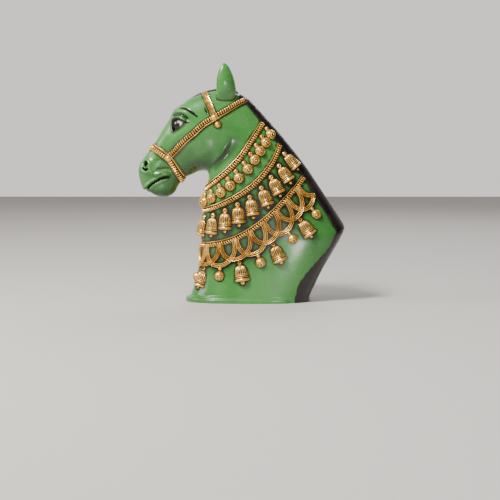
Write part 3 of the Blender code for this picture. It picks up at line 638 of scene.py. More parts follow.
def ribbed(rise, rim_side=-1, lean=0.35, pitch=RIB_PITCH, worn=0.0):
    """Profile of a band: a smooth rim along one edge and rope ribs beside it."""
    t = ACROSS * rim_side
    rim = swell(t, 0.74, 0.20)
    groove = swell(t, 0.42, 0.10)
    dome = np.sqrt(np.clip(1 - np.abs((t + 0.28) / 0.74) ** 3, 0, 1))
    edge = np.where(np.abs(t) > 0.999, -0.6, 0.0)

    def heights(run):
        phase = 2 * math.pi * (run / pitch + lean * t)
        bar = np.clip(0.62 + 0.75 * np.cos(phase), 0, 1) ** 0.8
        ribs = dome * (0.30 + worn + (0.70 - worn) * bar)
        return rise * (np.maximum(ribs * (t < 0.46), rim) - 0.30 * groove + edge)
    return heights


def hammered(rise):
    """Profile of a smooth band with a soft rim on both edges."""
    rim = swell(np.abs(ACROSS), 0.78, 0.16)
    edge = np.where(np.abs(ACROSS) > 0.999, -0.6, 0.0)

    def heights(run):
        dent = 0.06 * np.sin(run * 2100 + 3 * ACROSS) * np.sin(run * 1300 + 1)
        return rise * (0.80 + 0.16 * rim + dent + edge)
    return heights


def stranded(rise):
    """Profile of a looped cord: three strands side by side."""
    t = np.linspace(-1, 1, 25)
    strands = np.sqrt(np.clip(1 - (np.abs((t + 1) * 1.5 % 1.0 - 0.5) / 0.34) ** 2, 0, 1))
    edge = np.where(np.abs(t) > 0.999, -0.5, 0.0)
    dome = 1 - 0.20 * t ** 2

    def heights(run):
        return rise * (dome * (0.20 + 0.80 * strands) + edge)
    return heights


def laid(way, normal):
    """A direction turned into the skin's own plane."""
    return (way - normal * way.dot(normal)).normalized()


def facing(place, normal, down):
    """A frame whose -Z hangs down and whose -Y looks out of the skin."""
    down = laid(down, normal)
    turn = Matrix((down.cross(normal), -normal, -down)).transposed().to_4x4()
    return Matrix.Translation(place) @ turn


def looking(place, way):
    """A frame whose +Z points a given way."""
    return Matrix.Translation(place) @ way.to_track_quat("Z", "Y").to_matrix().to_4x4()


def turned(profile, sides):
    """A mesh spun round Z from pairs of distance down and radius."""
    bm = bmesh.new()
    made = [bm.verts.new((radius, 0, -down)) for down, radius in profile]
    edges = [bm.edges.new(pair) for pair in zip(made, made[1:])]
    bmesh.ops.spin(bm, geom=made + edges, cent=(0, 0, 0), axis=(0, 0, 1), angle=2 * math.pi,
                   steps=sides, use_merge=True)
    bmesh.ops.remove_doubles(bm, verts=bm.verts, dist=1e-7)
    bmesh.ops.recalc_face_normals(bm, faces=bm.faces)
    return bm


def as_mesh(bm, name):
    mesh = bpy.data.meshes.new(name)
    bm.to_mesh(mesh)
    bm.free()
    return mesh


def place_copy(bm, mesh, matrix):
    """A copy of a small mesh, placed in a bigger one."""
    copy = mesh.copy()
    copy.transform(matrix)
    bm.from_mesh(copy)
    bpy.data.meshes.remove(copy)


def pressed(bm, depth_at):
    """Presses grooves into a turned form, their depth given by distance down, angle and radius."""
    for v in bm.verts:
        out = math.hypot(v.co.x, v.co.y)
        if out > 1e-6:
            k = 1 - depth_at(-v.co.z, math.atan2(v.co.y, v.co.x), out)
            v.co.x *= k
            v.co.y *= k


def arc(at, radius, start, end, count):
    """Pairs on a round: distance down and radius, by angles from straight up."""
    return [(at - radius * math.cos(math.radians(a)), radius * math.sin(math.radians(a)))
            for a in np.linspace(start, end, count)]


BEAD_PROFILE = [(0, 1.10), (6, 1.09), (10, 1.04), (13, 0.93), (17, 0.91), (20, 0.95), (24, 1.05),
                (29, 1.07), (34, 1.03), (37, 0.95), (41, 0.93), (46, 0.97), (52, 1.0)]
BEAD_PROFILE += [(angle, 1.0) for angle in range(62, 181, 10)] + [(180, 1.0)]
BELL_PROFILE = [
    (0.205, 0.00), (0.208, 0.26), (0.222, 0.42), (0.250, 0.56), (0.290, 0.68), (0.340, 0.77),
    (0.400, 0.83), (0.460, 0.87), (0.520, 0.89), (0.575, 0.90), (0.586, 0.86), (0.596, 0.93),
    (0.612, 0.96), (0.626, 0.94), (0.636, 0.87), (0.650, 0.87), (0.660, 0.94), (0.676, 0.97),
    (0.690, 0.94), (0.700, 0.88), (0.716, 0.90), (0.736, 0.96), (0.760, 1.00), (0.790, 1.02),
    (0.815, 1.00), (0.832, 0.92), (0.838, 0.78), (0.830, 0.55), (0.825, 0.0)]
BELL_DOME = (0.235, 0.580)
FLUTE_DEPTH = 0.13
HANG_CAP = 0.42
CAP_DIMPLE = 0.14
DROP_CAP_LENGTH = 0.30
DROP_SLITS = 8
SLIT_DEPTH = 0.24
BOSS_PROFILE = [(0.92, 0.0), (0.90, 0.22), (0.80, 0.45), (0.55, 0.75), (0.20, 0.95), (-0.1, 1.0)]


def bead_shape():
    """A round bead with a ringed boss, spun round the boss's own axis."""
    profile = [arc(0.0, BEAD_RADIUS * k, angle, angle, 1)[0] for angle, k in BEAD_PROFILE]
    return as_mesh(turned(profile, 28), "bead")


def ball_shape(radius, dimple=0.0):
    profile = arc(0.0, radius, 0, 180, 13)
    if dimple:
        profile = [(-radius * (1 - dimple), 0.0), (-radius * (1 - dimple), radius * 0.20),
                   (-radius * 0.97, radius * 0.36)] + arc(0.0, radius, 34, 180, 11)
    return as_mesh(turned(profile, 20), "ball")


def bell_shape(radius, length, flutes, clapper):
    """A bell: cap ball, domed fluted body, two thin rings, flared lip and ball clapper."""
    bm = turned([(down * length, out * radius) for down, out in BELL_PROFILE], 96)
    top, bottom = (share * length for share in BELL_DOME)

    def depth_at(down, angle, out):
        share = (down - top) / (bottom - top)
        if not 0 < share < 1:
            return 0.0
        fade = min(share / 0.16, (1 - share) / 0.10, 1.0)
        groove = (0.5 - 0.5 * math.cos(flutes * angle)) ** 1.5
        return FLUTE_DEPTH * fade * groove * min(radius / out, 1.4) ** 0.5

    pressed(bm, depth_at)
    hang = clapper * radius
    place_copy(bm, ball_shape(hang), Matrix.Translation((0, 0, hang - length)))
    cap = HANG_CAP * radius
    out = Matrix.Translation((0, 0, -cap)) @ Matrix.Rotation(math.pi / 2, 4, "X")
    place_copy(bm, ball_shape(cap, CAP_DIMPLE), out)
    return as_mesh(bm, "bell")


def drop_shape(radius, length):
    """A ball with slits below, under a small cap ball and over a smaller one."""
    tall = (length - DROP_CAP_LENGTH * length) / 2
    middle = length - tall
    profile = [(middle - tall * math.cos(a), radius * math.sin(a))
               for a in np.radians(np.linspace(0, 180, 26))]
    bm = turned(profile, 64)

    def depth_at(down, angle, out):
        share = (down - middle) / tall
        if share <= 0.05:
            return 0.0
        fade = min((share - 0.05) / 0.25, 1.0) * min((1 - share) / 0.12, 1.0)
        return SLIT_DEPTH * (0.5 + 0.5 * math.cos(DROP_SLITS * angle)) ** 3 * fade

    pressed(bm, depth_at)
    cap = HANG_CAP * radius
    place_copy(bm, ball_shape(cap), Matrix.Translation((0, 0, -cap)))
    place_copy(bm, ball_shape(0.26 * radius), Matrix.Translation((0, 0, 0.20 * radius - length)))
    return as_mesh(bm, "drop")


class Necklace:
    """A collar band and the places that hang from it."""

    def __init__(self, skin, knots):
        self.skin = skin
        near = skin.course(knots)
        while skin.under_mane(near[-1]):
            near.pop()
        self.near = near
        steps = [(b - a).length for a, b in zip(near, near[1:])]
        self.run = np.concatenate([[0.0], np.cumsum(steps)])
        self.reach = float(self.run[-1])

    def at(self, distance):
        where = min(abs(distance), self.reach)
        k = max(int(np.argmin(np.abs(self.run[:-1] - where))), 1)
        after = min(k + 1, len(self.near) - 1)
        step = self.near[after] - self.near[k - 1]
        f = (where - self.run[k - 1]) / (self.run[k] - self.run[k - 1])
        place = self.near[k - 1].lerp(self.near[k], f)
        if where < 1e-5:
            step = Vector((0, -1, 0))
        if distance < 0:
            return mirrored(place), Vector((-step.x, step.y, -step.z)).normalized()
        return place, step.normalized()

    def hang(self, distance, drop, lean=0.0):
        """The skin a given drop from the band, and the way down there."""
        place, along = self.at(distance)
        place, normal = self.skin.nearest(place)
        down = along.cross(normal).normalized()
        if down.z > 0:
            down = -down
        share = min(abs(distance) / (LEAN_FADE * self.reach), 1.0)
        turn = -math.copysign(math.radians(lean) * share, distance)
        down.rotate(Matrix.Rotation(turn, 3, normal))
        steps = max(int(drop / HANG_STEP), 1)
        for _ in range(steps):
            down = laid(down, normal)
            place, normal = self.skin.nearest(place + down * (drop / steps))
        return place, normal, laid(down, normal)

    def hang_copy(self, bm, shape, distance, drop, length, lean, sunk):
        """A shape hung with its top at a drop from the band, unless it's under the mane."""
        middle, normal, down = self.hang(distance, drop + length / 2, lean)
        if not self.skin.under_mane(middle):
            top = middle - down * (length / 2) - normal * sunk
            place_copy(bm, shape, facing(top, normal, down))

    def spaced(self, count, room, crowd=1.0):
        last = math.ceil(count)
        numbers = range(-last, last + 1)
        shares = [math.copysign((abs(k) / count) ** crowd, k) for k in numbers]
        return [(k, (self.reach - room) * share) for k, share in zip(numbers, shares)]


def collar_bands(skin, necklaces):
    bm = bmesh.new()
    for necklace in necklaces:
        points = evenly(across_front(necklace.near), RIB_STEP)
        strip(bm, skin, points, BAND_WIDTH, ribbed(BAND_RISE))
    return bm


def round_beads(necklace):
    bm = bmesh.new()
    bead = bead_shape()
    cap = ball_shape(BEAD_CAP_RADIUS, dimple=0.10)
    for _, distance in necklace.spaced(BEADS_A_SIDE, 0, BEADS_CROWD):
        place, normal, down = necklace.hang(distance, BEAD_DROP, BEAD_LEAN)
        place_copy(bm, bead, looking(place, normal + down * BOSS_DROOP))
        top = place - down * (BEAD_RADIUS + BEAD_CAP_RADIUS * 0.75) + normal * BEAD_CAP_RISE
        place_copy(bm, cap, looking(top, normal))
    return bm


def middle_bells(necklace):
    bm = bmesh.new()
    bell = bell_shape(BELL_RADIUS, BELL_LENGTH, flutes=18, clapper=0.33)
    for _, distance in necklace.spaced(BELLS_A_SIDE, BELL_RADIUS / 2, BELLS_CROWD):
        necklace.hang_copy(bm, bell, distance, BELL_DROP, BELL_LENGTH, BELL_LEAN, BELL_SUNK)
    return bm


def looped_cords(skin, necklace):
    """Two sets of loops: the rear ones pass under the front ones."""
    bm = bmesh.new()
    width = 2 * necklace.reach / LOOPS_A_SIDE - LOOP_GAP
    for odd, depth, rise in ((0, REAR_LOOP_DEPTH, LOOP_CORD_RISE),
                             (1, FRONT_LOOP_DEPTH, LOOP_CORD_RISE + LOOP_CORD_OVERLAP)):
        for k, distance in necklace.spaced(LOOPS_A_SIDE, 0):
            if k % 2 != odd:
                continue
            points = []
            for angle in np.radians(np.linspace(-90, 90, 41)):
                along = distance + width / 2 * math.sin(angle)
                drop = LOOP_START + depth * math.cos(angle) ** LOOP_ROUNDNESS
                point, _, _ = necklace.hang(along, drop, LOOP_LEAN)
                if not skin.under_mane(point) and abs(along) < necklace.reach:
                    points.append(point)
            if len(points) > SHORTEST_LOOP:
                strip(bm, skin, evenly(points, LOOP_STEP), LOOP_CORD_WIDTH, stranded(rise))
    return bm


def tassels(necklace, odd, shape, length, depth, sunk):
    """Bells under the front loops, or balls under the rear ones."""
    bm = bmesh.new()
    for k, distance in necklace.spaced(LOOPS_A_SIDE, 0):
        if k % 2 == odd and abs(distance) <= necklace.reach:
            necklace.hang_copy(bm, shape, distance, depth + TASSEL_GAP, length, LOOP_LEAN, sunk)
    return bm


def halter(skin):
    """Noseband, cheek straps over the poll, brow band, and their bosses."""
    bm = bmesh.new()
    nose = skin.course(NOSEBAND)
    loop = nose[:-1] + [mirrored(p) for p in nose[:0:-1]]
    around = evenly(loop + loop[:1], STRAP_STEP)[:-1]
    strip(bm, skin, around, NOSEBAND_WIDTH, ribbed(STRAP_RISE, 1, 0.2, worn=0.12), closed=True)
    for knots, profile in ((CHEEK_STRAP, ribbed(STRAP_RISE, 1, 0.2)),
                           (BROW_BAND, hammered(STRAP_RISE))):
        near = skin.course(knots)
        over = evenly(near + [mirrored(p) for p in near[-2::-1]], STRAP_STEP)
        strip(bm, skin, over, CHEEK_STRAP_WIDTH, profile)
    for ring, share, radius in HALTER_BOSSES:
        place = skin.on_ring(ring, share)[0]
        profile = [(-radius * up, radius * out) for up, out in BOSS_PROFILE]
        shape = as_mesh(turned(profile + [(ROOT, radius * 0.9), (ROOT, 0.0)], 28), "boss")
        for spot in (place, mirrored(place)):
            place_copy(bm, shape, looking(*skin.nearest(spot)))
    return bm


def mane(skin, across=14, step=0.08):
    """A raised strip of hair over the crest, from the poll to the withers."""
    bm = bmesh.new()
    rows = []
    rings = np.arange(MANE_START, MANE_END + step / 2, step)
    shares = np.linspace(0, 1, 400)
    for ring in rings:
        near = plain_places(np.full(len(shares), ring), shares)
        width = mane_width(ring) * HEIGHT
        gap = np.hypot(near[:, 0] - near[-1, 0], near[:, 2] - near[-1, 2])
        k = int(np.flatnonzero(gap >= width)[-1])
        start = np.interp(width, gap[[k + 1, k]], shares[[k + 1, k]])
        at = np.linspace(start, 1.0, across + 1)
        side = plain_places(np.full(across + 1, ring), at)
        whole = np.concatenate([side, side[-2::-1] * (1, -1, 1)])
        ends = min(ring - rings[0], rings[-1] - ring)
        tall = MANE_RISE * HEIGHT * min(MANE_END_RISE + ends, 1.0)
        top = []
        low = []
        for n, place in enumerate(whole.tolist()):
            spot, normal = skin.nearest(Vector(place))
            normal.y = 0 if n == across else normal.y
            normal.normalize()
            t = 1 - abs(n - across) / across
            edge = math.sqrt(1 - (1 - min(t / 0.22, 1.0)) ** 2)
            hair = HAIR_RISE * math.sin(2 * math.pi * (6.5 * t + 2.4 * ring)) * (1 - t ** 6)
            rise = tall * (MANE_EDGE_RISE * edge + (1 - MANE_EDGE_RISE) * t) + hair * edge
            top.append(spot + normal * rise)
            low.append(spot - normal * MANE_ROOT)
        rows.append(top + low[::-4] + ([low[0]] if (len(low) - 1) % 4 else []))
    wrapped(bm, rows)
    return bm


def forelock(skin):
    """The thin lock that lies down the forehead, under the brow band."""
    bm = bmesh.new()
    knots = [(FORELOCK_FROM, 1.0), (11.0, 1.0), (12.0, 1.0), (13.0, 1.0), (FORELOCK_TO, 1.0)]
    points = evenly(skin.course(knots), FORELOCK_STEP)
    length = sum((b - a).length for a, b in zip(points, points[1:]))

    def heights(run):
        share = run / length
        fade = min(share / 0.35, 1.0, (1 - share) / 0.06 + 0.3)
        body = np.sqrt(np.clip(1 - ACROSS ** 2, 0, 1)) * fade
        hair = 0.16 * np.sin(9 * ACROSS + 2.2 * math.sin(run * 120))
        return FORELOCK_RISE * (body * (0.9 + hair) + np.where(np.abs(ACROSS) > 0.999, -0.5, 0))

    strip(bm, skin, points, FORELOCK_WIDTH * HEIGHT, heights)
    return bm


def ears(sides=56, levels=56):
    bm = bmesh.new()
    rows = smooth_rows(EAR_RINGS, np.linspace(0, len(EAR_RINGS) - 1, levels))
    foot, tip = EAR_RINGS[0][0], EAR_RINGS[-1][0]
    for side in (-1, 1):
        shape = []
        for height, front, rear, thick, apart in rows.tolist():
            share = (height - foot) / (tip - foot)
            deep = EAR_HOLLOW * float(smoothstep(0.26, 0.50, share) * smoothstep(1.0, 0.93, share))
            ring = []
            for k in range(sides):
                angle = 2 * math.pi * k / sides
                x, y = math.cos(angle), math.sin(angle)
                if x < 0:
                    x *= 1 - deep * math.exp(-(y / EAR_HOLLOW_WIDTH) ** 2)
                place = Vector(((rear - front) / 2 * x, side * thick * y, 0))
                place.rotate(Matrix.Rotation(math.radians(-side * EAR_TURN), 3, "Z"))
                ring.append((place + Vector(((front + rear) / 2, side * apart, height))) * HEIGHT)
            shape.append(ring)
        wrapped(bm, shape)
    return bm


def eyeballs(skin):
    bm = bmesh.new()
    for side in (-1, 1):
        place, normal = skin.from_side(*EYE_AT, side)
        made = bmesh.ops.create_uvsphere(bm, u_segments=96, v_segments=64, radius=EYE_RADIUS * HEIGHT)
        bmesh.ops.translate(bm, verts=made["verts"], vec=place - normal * EYE_SUNK * HEIGHT)
    return bm


def vertex_values(mesh, name):
    """Places, or directions out of the surface, of a mesh's vertices."""
    values = np.empty(len(mesh.vertices) * 3)
    mesh.vertices.foreach_get(name, values)
    return values.reshape(-1, 3)


def side_view(mesh):
    """Side-view x and z of a mesh's vertices, as shares of the height."""
    return vertex_values(mesh, "co")[:, 0] / HEIGHT, vertex_values(mesh, "co")[:, 2] / HEIGHT


def hollows(mesh, spread, depth):
    """How deep each vertex lies in a hollow, from 0 to 1, from the mesh's own curvature."""
    places = vertex_values(mesh, "co")
    ends = np.empty(len(mesh.edges) * 2, int)
    mesh.edges.foreach_get("vertices", ends)
    a, b = ends.reshape(-1, 2).T
    count = np.maximum(np.bincount(np.concatenate([a, b]), minlength=len(places)), 1)

    def around(values):
        total = np.zeros_like(values)
        np.add.at(total, a, values[b])
        np.add.at(total, b, values[a])
        return total / count.reshape(-1, *[1] * (values.ndim - 1))

    smooth = places.copy()
    for _ in range(spread):
        smooth = 0.5 * smooth + 0.5 * around(smooth)
    deep = ((smooth - places) * vertex_values(mesh, "normal")).sum(1)
    return np.clip(deep / depth, 0.0, 1.0)


def set_values(mesh, name, values):
    layer = mesh.attributes.new(name, "FLOAT", "POINT")
    layer.data.foreach_set("value", np.clip(values, 0.0, 1.0))


def tree_of(*objects):
    """A search tree over the faces of several pieces."""
    bm = bmesh.new()
    for item in objects:
        bm.from_mesh(item.data)
    tree = BVHTree.FromBMesh(bm)
    bm.free()
    return tree


def closeness(mesh, tree, reach):
    """From 1 where a vertex touches the tree's faces down to 0 at the reach."""
    near = np.zeros(len(mesh.vertices))
    for k, place in enumerate(vertex_values(mesh, "co").tolist()):
        found = tree.find_nearest(place, reach)
        if found[0] is not None:
            near[k] = 1 - found[3] / reach
    return near


def piece(bm, name, paint, sharp=60):
    """A finished piece of the figure, riding on its one body."""
    bmesh.ops.recalc_face_normals(bm, faces=bm.faces)
    mesh = as_mesh(bm, name)
    mesh.materials.append(paint)
    mesh.shade_smooth()
    mesh.set_sharp_from_angle(angle=math.radians(sharp))
    made = bpy.data.objects.new(name, mesh)
    bpy.context.collection.objects.link(made)
    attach(made, BODY)
    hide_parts(NODE)
    return made


# Materials

class Paint:
    """A Principled paint with a small graph of nodes behind it."""

    def __init__(self, name):
        self.material = bpy.data.materials.new(name)
        self.material.use_nodes = True
        self.nodes = self.material.node_tree.nodes
        self.links = self.material.node_tree.links
        self.shader = self.nodes["Principled BSDF"]
        self.object = self.nodes.new("ShaderNodeTexCoord").outputs["Object"]

    def set(self, **values):
        for name, value in values.items():
            self.shader.inputs[name.replace("_", " ")].default_value = value

    def join(self, value, socket):
        if isinstance(value, bpy.types.NodeSocket):
            self.links.new(value, socket)
        elif isinstance(value, tuple) and len(value) == 3 and socket.type == "RGBA":
            socket.default_value = (*value, 1.0)
        else:
            socket.default_value = value

    def out(self, name, value):
        self.join(value, self.shader.inputs[name])

    def node(self, kind, **values):
        made = self.nodes.new("ShaderNode" + kind)
        for name, value in values.items():
            self.join(value, made.inputs[name])
        return made

    def noise(self, scale, detail=2.0, rough=0.5):
        values = {"Vector": self.object, "Scale": scale, "Detail": detail, "Roughness": rough}
        return self.node("TexNoise", **values).outputs["Fac"]

    def attribute(self, name):
        node = self.node("Attribute")
        node.attribute_name = name
        return node.outputs["Fac"]

    def ranged(self, value, low, high, to_low=0.0, to_high=1.0):
        node = self.node("MapRange")
        node.interpolation_type = "SMOOTHSTEP"
        for socket, number in zip(node.inputs, (value, low, high, to_low, to_high)):
            self.join(number, socket)
        return node.outputs["Result"]

    def plus(self, value, other, share):
        """One value and a share of another."""
        node = self.node("Math")
        node.operation = "MULTIPLY_ADD"
        for socket, number in zip(node.inputs, (other, share, value)):
            self.join(number, socket)
        return node.outputs["Value"]

    def mix(self, factor, a, b):
        node = self.node("Mix")
        node.data_type = "RGBA"
        colours = [s for s in node.inputs if s.type == "RGBA"]
        for socket, value in zip((node.inputs[0], *colours), (factor, a, b)):
            self.join(value, socket)
        return [s for s in node.outputs if s.type == "RGBA"][0]

    def bump(self, height, strength, distance):
        node = self.node("Bump", Height=height, Strength=strength, Distance=distance)
        self.out("Normal", node.outputs["Normal"])


LEAF_GREEN = (0.030, 0.150, 0.024), (0.058, 0.240, 0.048)
WORN_GREEN = (0.10, 0.28, 0.08)
SHADED_GREEN = (0.008, 0.040, 0.007)
BROWN_GLAZE_AND_SHADE = (0.012, 0.012, 0.004)
LINE_BLACK = (0.007, 0.004, 0.002)
BRIGHT_GOLD = (0.72, 0.36, 0.06), (1.0, 0.68, 0.18)
DULL_AND_SHADED_GOLD = (0.34, 0.13, 0.018)
RECESS_BROWN = (0.010, 0.006, 0.003)
HAIR_BLACK = (0.004, 0.003, 0.003), (0.016, 0.010, 0.007)
OFF_WHITE = (0.62, 0.58, 0.50), (0.78, 0.75, 0.68)
IRIS_BLACK = (0.010, 0.008, 0.008)
PUPIL_BLACK = (0.004, 0.003, 0.003)
GLINT_WHITE = (0.50, 0.48, 0.46)
SPECKLE = 0.18


def green_paint():
    paint = Paint("leaf green paint")
    broad = paint.ranged(paint.noise(14), 0.35, 0.68)
    fine = paint.ranged(paint.noise(110, 3.0, 0.6), 0.30, 0.75)
    green = paint.mix(paint.plus(0.0, fine, SPECKLE), paint.mix(broad, *LEAF_GREEN), WORN_GREEN)
    # Painted shade: darker green on faces turned down, in the lid's crease, beside the jowl and round
    # the bells and loops
    green = paint.mix(paint.attribute("shade"), green, SHADED_GREEN)
    # Brown glaze with painted shade beside the ornaments and the hair and in creases
    glaze_and_shade = paint.ranged(paint.plus(paint.attribute("glaze_and_shade"), fine, SPECKLE), 0.12, 0.95)
    dark = paint.ranged(paint.attribute("dark"), 0.35, 0.65)
    paint.out("Base Color", paint.mix(dark, paint.mix(glaze_and_shade, green, BROWN_GLAZE_AND_SHADE), LINE_BLACK))
    paint.out("Roughness", paint.ranged(paint.noise(45), 0.3, 0.7, 0.24, 0.36))
    paint.set(Coat_Weight=0.45, Coat_Roughness=0.14, Specular_IOR_Level=0.38)
    paint.bump(paint.plus(paint.noise(38), fine, 0.15), 0.25, 0.0012)
    return paint.material


def gold_paint():
    paint = Paint("antique gold paint")
    gold = paint.mix(paint.ranged(paint.noise(160, 3.0, 0.6), 0.3, 0.7), *BRIGHT_GOLD)
    # Dark glaze with painted shade: duller gold, then brown, in the hollows and at the seat on the
    # skin
    glaze_and_shade = paint.attribute("glaze_and_shade")
    gold = paint.mix(paint.ranged(glaze_and_shade, 0.03, 0.32), gold, DULL_AND_SHADED_GOLD)
    recess = paint.ranged(glaze_and_shade, 0.22, 0.62)
    paint.out("Base Color", paint.mix(recess, gold, RECESS_BROWN))
    paint.out("Metallic", paint.ranged(recess, 0.0, 1.0, 0.80, 0.10))
    paint.out("Roughness", paint.ranged(recess, 0.0, 1.0, 0.28, 0.60))
    paint.bump(paint.noise(420), 0.20, 0.0004)
    return paint.material


def black_paint():
    paint = Paint("brown black paint")
    streak = paint.ranged(paint.noise(60, 3.0), 0.35, 0.75)
    paint.out("Base Color", paint.mix(streak, *HAIR_BLACK))
    paint.out("Roughness", paint.ranged(streak, 0.0, 1.0, 0.30, 0.42))
    paint.set(Specular_IOR_Level=0.3)
    paint.bump(paint.noise(90), 0.2, 0.0008)
    return paint.material


def eye_paint():
    """Off-white ball with a black iris and one painted glint, placed in the side view."""
    paint = Paint("eye paint")

    def spot(ball, at, size, soft, colour):
        place = (at[0] * HEIGHT, 0, at[1] * HEIGHT)
        scale = (size[0] * HEIGHT, 1e3, size[1] * HEIGHT)
        mapping = paint.node("Mapping", Vector=paint.object, Location=place, Scale=scale)
        mapping.vector_type = "TEXTURE"
        length = paint.node("VectorMath", Vector=mapping.outputs["Vector"])
        length.operation = "LENGTH"
        within = paint.ranged(length.outputs["Value"], 1 - soft, 1 + soft, 1.0, 0.0)
        return paint.mix(within, ball, colour)

    white = paint.mix(paint.ranged(paint.noise(300), 0.3, 0.7), *OFF_WHITE)
    ball = paint.mix(paint.attribute("dark"), white, LINE_BLACK)
    ball = spot(ball, IRIS_AT, IRIS_SIZE, 0.07, IRIS_BLACK)
    ball = spot(ball, IRIS_AT, PUPIL_SIZE, 0.15, PUPIL_BLACK)
    paint.out("Base Color", spot(ball, GLINT_AT, GLINT_SIZE, 0.3, GLINT_WHITE))
    paint.set(Roughness=0.30, Coat_Weight=0.10, Coat_Roughness=0.10)
    return paint.material


# The figure

skin = Skin()
upper = Necklace(skin, UPPER_COLLAR)
middle = Necklace(skin, MIDDLE_COLLAR)
lower = Necklace(skin, LOWER_COLLAR)

green = green_paint()
gold = gold_paint()
black = black_paint()

half, ring_layer = carved_half(steps=8, facets=72, finer=True)
add_lip(half, ring_layer)
whole_figure(half)
figure = piece(half, "carved_figure", green, sharp=50)
ear_pair = piece(ears(), "ears", green)
mane_piece = piece(mane(skin), "mane", black)
forelock_piece = piece(forelock(skin), "forelock", black)
eye_pair = piece(eyeballs(skin), "eyeballs", eye_paint())

front_bell = bell_shape(TASSEL_BELL_RADIUS, TASSEL_BELL_LENGTH, flutes=20, clapper=0.42)
front = (1, front_bell, TASSEL_BELL_LENGTH, FRONT_LOOP_DEPTH, TASSEL_BELL_SUNK)
rear_ball = drop_shape(TASSEL_BALL_RADIUS, TASSEL_BALL_LENGTH)
rear = (0, rear_ball, TASSEL_BALL_LENGTH, REAR_LOOP_DEPTH, TASSEL_BALL_SUNK)
golden = {name: piece(bm, name, gold) for name, bm in (
    ("halter", halter(skin)),
    ("collar_bands", collar_bands(skin, (upper, middle, lower))),
    ("round_beads", round_beads(upper)),
    ("middle_bells", middle_bells(middle)),
    ("looped_cords", looped_cords(skin, lower)),
    ("lower_bells", tassels(lower, *front)),
    ("lower_balls", tassels(lower, *rear)),
)}

# Dark glaze with painted shade in the hollows of the gold, and painted shade where it meets the skin
SEAT_REACH = 0.0010
FINE_HOLLOWS = (3, 0.00012)
BROAD_HOLLOWS = (14, 0.00040)
for item in golden.values():
    mesh = item.data
    hollow_glaze_and_shade = 0.9 * hollows(mesh, *FINE_HOLLOWS) + 0.7 * hollows(mesh, *BROAD_HOLLOWS)
    set_values(mesh, "glaze_and_shade", hollow_glaze_and_shade + closeness(mesh, skin.tree, SEAT_REACH))

# Brown glaze with painted shade beside the ornaments and the hair and in creases, and
# painted shade in darker green on faces turned down, under and round the bells and loops,
# in the lid's crease and beside the jowl
GOLD_REACH = 0.0024
BELL_GROUND_REACH = 0.0075
CORD_GROUND_REACH = 0.0090
CORD_GROUND = 0.80
HAIR_REACH = 0.0030
CREASES = (8, 0.00022)
GROUND_GLAZE_AND_SHADE = 0.5
CREASE_GLAZE_AND_SHADE = 0.5
HAIR_GLAZE_AND_SHADE = 0.9
UNDER_SHADE = 1.1
MOST_SHADE = 0.92
# Line, width, strength and taper
SHADED_LINES = ((LID_CREASE, 0.0085, 1.0, 0.15), (JOWL_LINE, 0.0240, 0.60, 0.15))
mesh = figure.data
x, z = side_view(mesh)
beside_gold = closeness(mesh, tree_of(*golden.values()), GOLD_REACH)
ground = closeness(mesh, tree_of(golden["middle_bells"]), BELL_GROUND_REACH)
ground += CORD_GROUND * closeness(mesh, tree_of(golden["looped_cords"]), CORD_GROUND_REACH)
crease = hollows(mesh, *CREASES) * smoothstep(-0.17, -0.23, x)
beside_hair = closeness(mesh, tree_of(mane_piece, forelock_piece), HAIR_REACH)
# Brown glaze with painted shade: darker near the ornaments, between the bells and loops, in creases
# and beside the hair
glaze_and_shade = beside_gold + GROUND_GLAZE_AND_SHADE * ground + CREASE_GLAZE_AND_SHADE * crease + HAIR_GLAZE_AND_SHADE * beside_hair ** 1.5
set_values(mesh, "glaze_and_shade", glaze_and_shade)
lines = np.max([ridge(x, z, *line) for line in SHADED_LINES], axis=0)
# Painted shade: darker on faces that turn down, in the upper part of the figure
under = np.clip(0.12 - vertex_values(mesh, "normal")[:, 2], 0, 1) * smoothstep(0.30, 0.50, z)
set_values(mesh, "shade", np.minimum(ground + lines + UNDER_SHADE * under, MOST_SHADE))

# Black lines of the face, the nostril, the eye's surround and the cut face at the rear
PAINTED_LINES = ((LASH_LINE, 0.0078), (BROW_CREASE, 0.0060), (TEMPLE_LINE, 0.0034),
                 (MOUTH_LINE, 0.0030), (NOSTRIL_SLIT, 0.0040))
dark = smoothstep(0.0072, 0.0038, eye_distance(x, z)) * (x < -0.1)
for line, width in PAINTED_LINES:
    gap, share, _ = to_line(x, z, smooth_line(line))
    narrow = 0.35 + 0.65 * np.minimum(share, 1 - share) ** 0.5 / 0.5 ** 0.5
    dark = np.maximum(dark, smoothstep(1.5, 0.6, gap / (width * narrow)))
dark = np.maximum(dark, smoothstep(1.15, 0.80, oval(x, z, NOSTRIL_PIT)))
gap, _, side = to_line(x, z, smooth_line(CUT_LINE))
dark = np.maximum(dark, smoothstep(-0.003, 0.003, gap * side) * (x > 0.15))
set_values(mesh, "dark", dark)

# Brown glaze with painted shade at the feet and in the hollows of the ears, and the eye's rim
EAR_FOOT_REACH = 0.0035
EAR_HOLLOWS = (6, 0.0004)
mesh = ear_pair.data
glaze_and_shade = 0.9 * closeness(mesh, skin.tree, EAR_FOOT_REACH) + 0.8 * hollows(mesh, *EAR_HOLLOWS)
set_values(mesh, "glaze_and_shade", glaze_and_shade)
mesh = eye_pair.data
set_values(mesh, "dark", smoothstep(-0.0048, -0.0020, eye_distance(*side_view(mesh))))

# Floor, light and camera

FLOOR_SIZE = 6.0
FLOOR_COLOUR = (0.50, 0.48, 0.46, 1.0)
ROOM_COLOUR = (0.95, 0.91, 0.87, 1.0)
# The room is dimmer in front of the figure than behind it: direction and strength
ROOM_RANGE = {"From Min": 0.1, "From Max": 0.9, "To Min": 0.20, "To Max": 1.05}
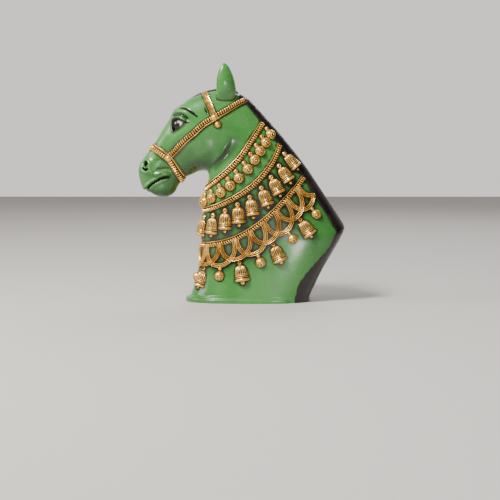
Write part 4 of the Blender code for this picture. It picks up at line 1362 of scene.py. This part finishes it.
# Lights: name, place, aim, size, power and colour
LIGHTS = [
    ("window", (-0.85, -0.95, 1.65), (0, 0, 0.15), 0.50, 78, (1.0, 0.97, 0.92)),
    ("left", (-1.6, -0.3, 1.0), (0, 0, 0.17), 0.8, 14, (1.0, 0.97, 0.93)),
    ("front", (0.40, -1.65, 0.10), (0.05, 0, 0.10), 0.20, 5.0, (1.0, 0.98, 0.95)),
    ("back", (0.5, 1.4, 1.3), (0, 0, 0.17), 1.0, 12, (0.98, 0.98, 1.0)),
]
CAMERA_AT = (0.0198, -1.7865, 0.2114)
CAMERA_AIM = (0.01085, 0.0, 0.0643)
CAMERA_LENS = 101.1


def stood(name, data, place, aim):
    """A light or camera at a place, turned to what it is aimed at."""
    made = bpy.data.objects.new(name, data)
    made.location = place
    made.rotation_euler = (Vector(aim) - Vector(place)).to_track_quat("-Z", "Y").to_euler()
    bpy.context.collection.objects.link(made)
    return made


floor_mesh = bmesh.new()
bmesh.ops.create_grid(floor_mesh, x_segments=1, y_segments=1, size=FLOOR_SIZE / 2)
floor = bpy.data.objects.new("floor", as_mesh(floor_mesh, "floor"))
bpy.context.collection.objects.link(floor)
pale = Paint("pale floor")
pale.set(Base_Color=FLOOR_COLOUR, Roughness=0.7)
floor.data.materials.append(pale.material)

world = bpy.data.worlds.new("soft room")
bpy.context.scene.world = world
world.use_nodes = True
nodes, links = world.node_tree.nodes, world.node_tree.links
background = nodes["Background"]
background.inputs["Color"].default_value = ROOM_COLOUR
axes = nodes.new("ShaderNodeSeparateXYZ")
links.new(nodes.new("ShaderNodeTexCoord").outputs["Generated"], axes.inputs[0])
strength = nodes.new("ShaderNodeMapRange")
for name, value in ROOM_RANGE.items():
    strength.inputs[name].default_value = value
links.new(axes.outputs["Y"], strength.inputs["Value"])
links.new(strength.outputs["Result"], background.inputs["Strength"])

for name, place, aim, size, power, colour in LIGHTS:
    lamp = bpy.data.lights.new(name, "AREA")
    lamp.size = size
    lamp.energy = power
    lamp.color = colour
    stood(name, lamp, place, aim)

camera = stood("camera", bpy.data.cameras.new("camera"), CAMERA_AT, CAMERA_AIM)
camera.data.sensor_width = 36.0
camera.data.lens = CAMERA_LENS
bpy.context.scene.camera = camera
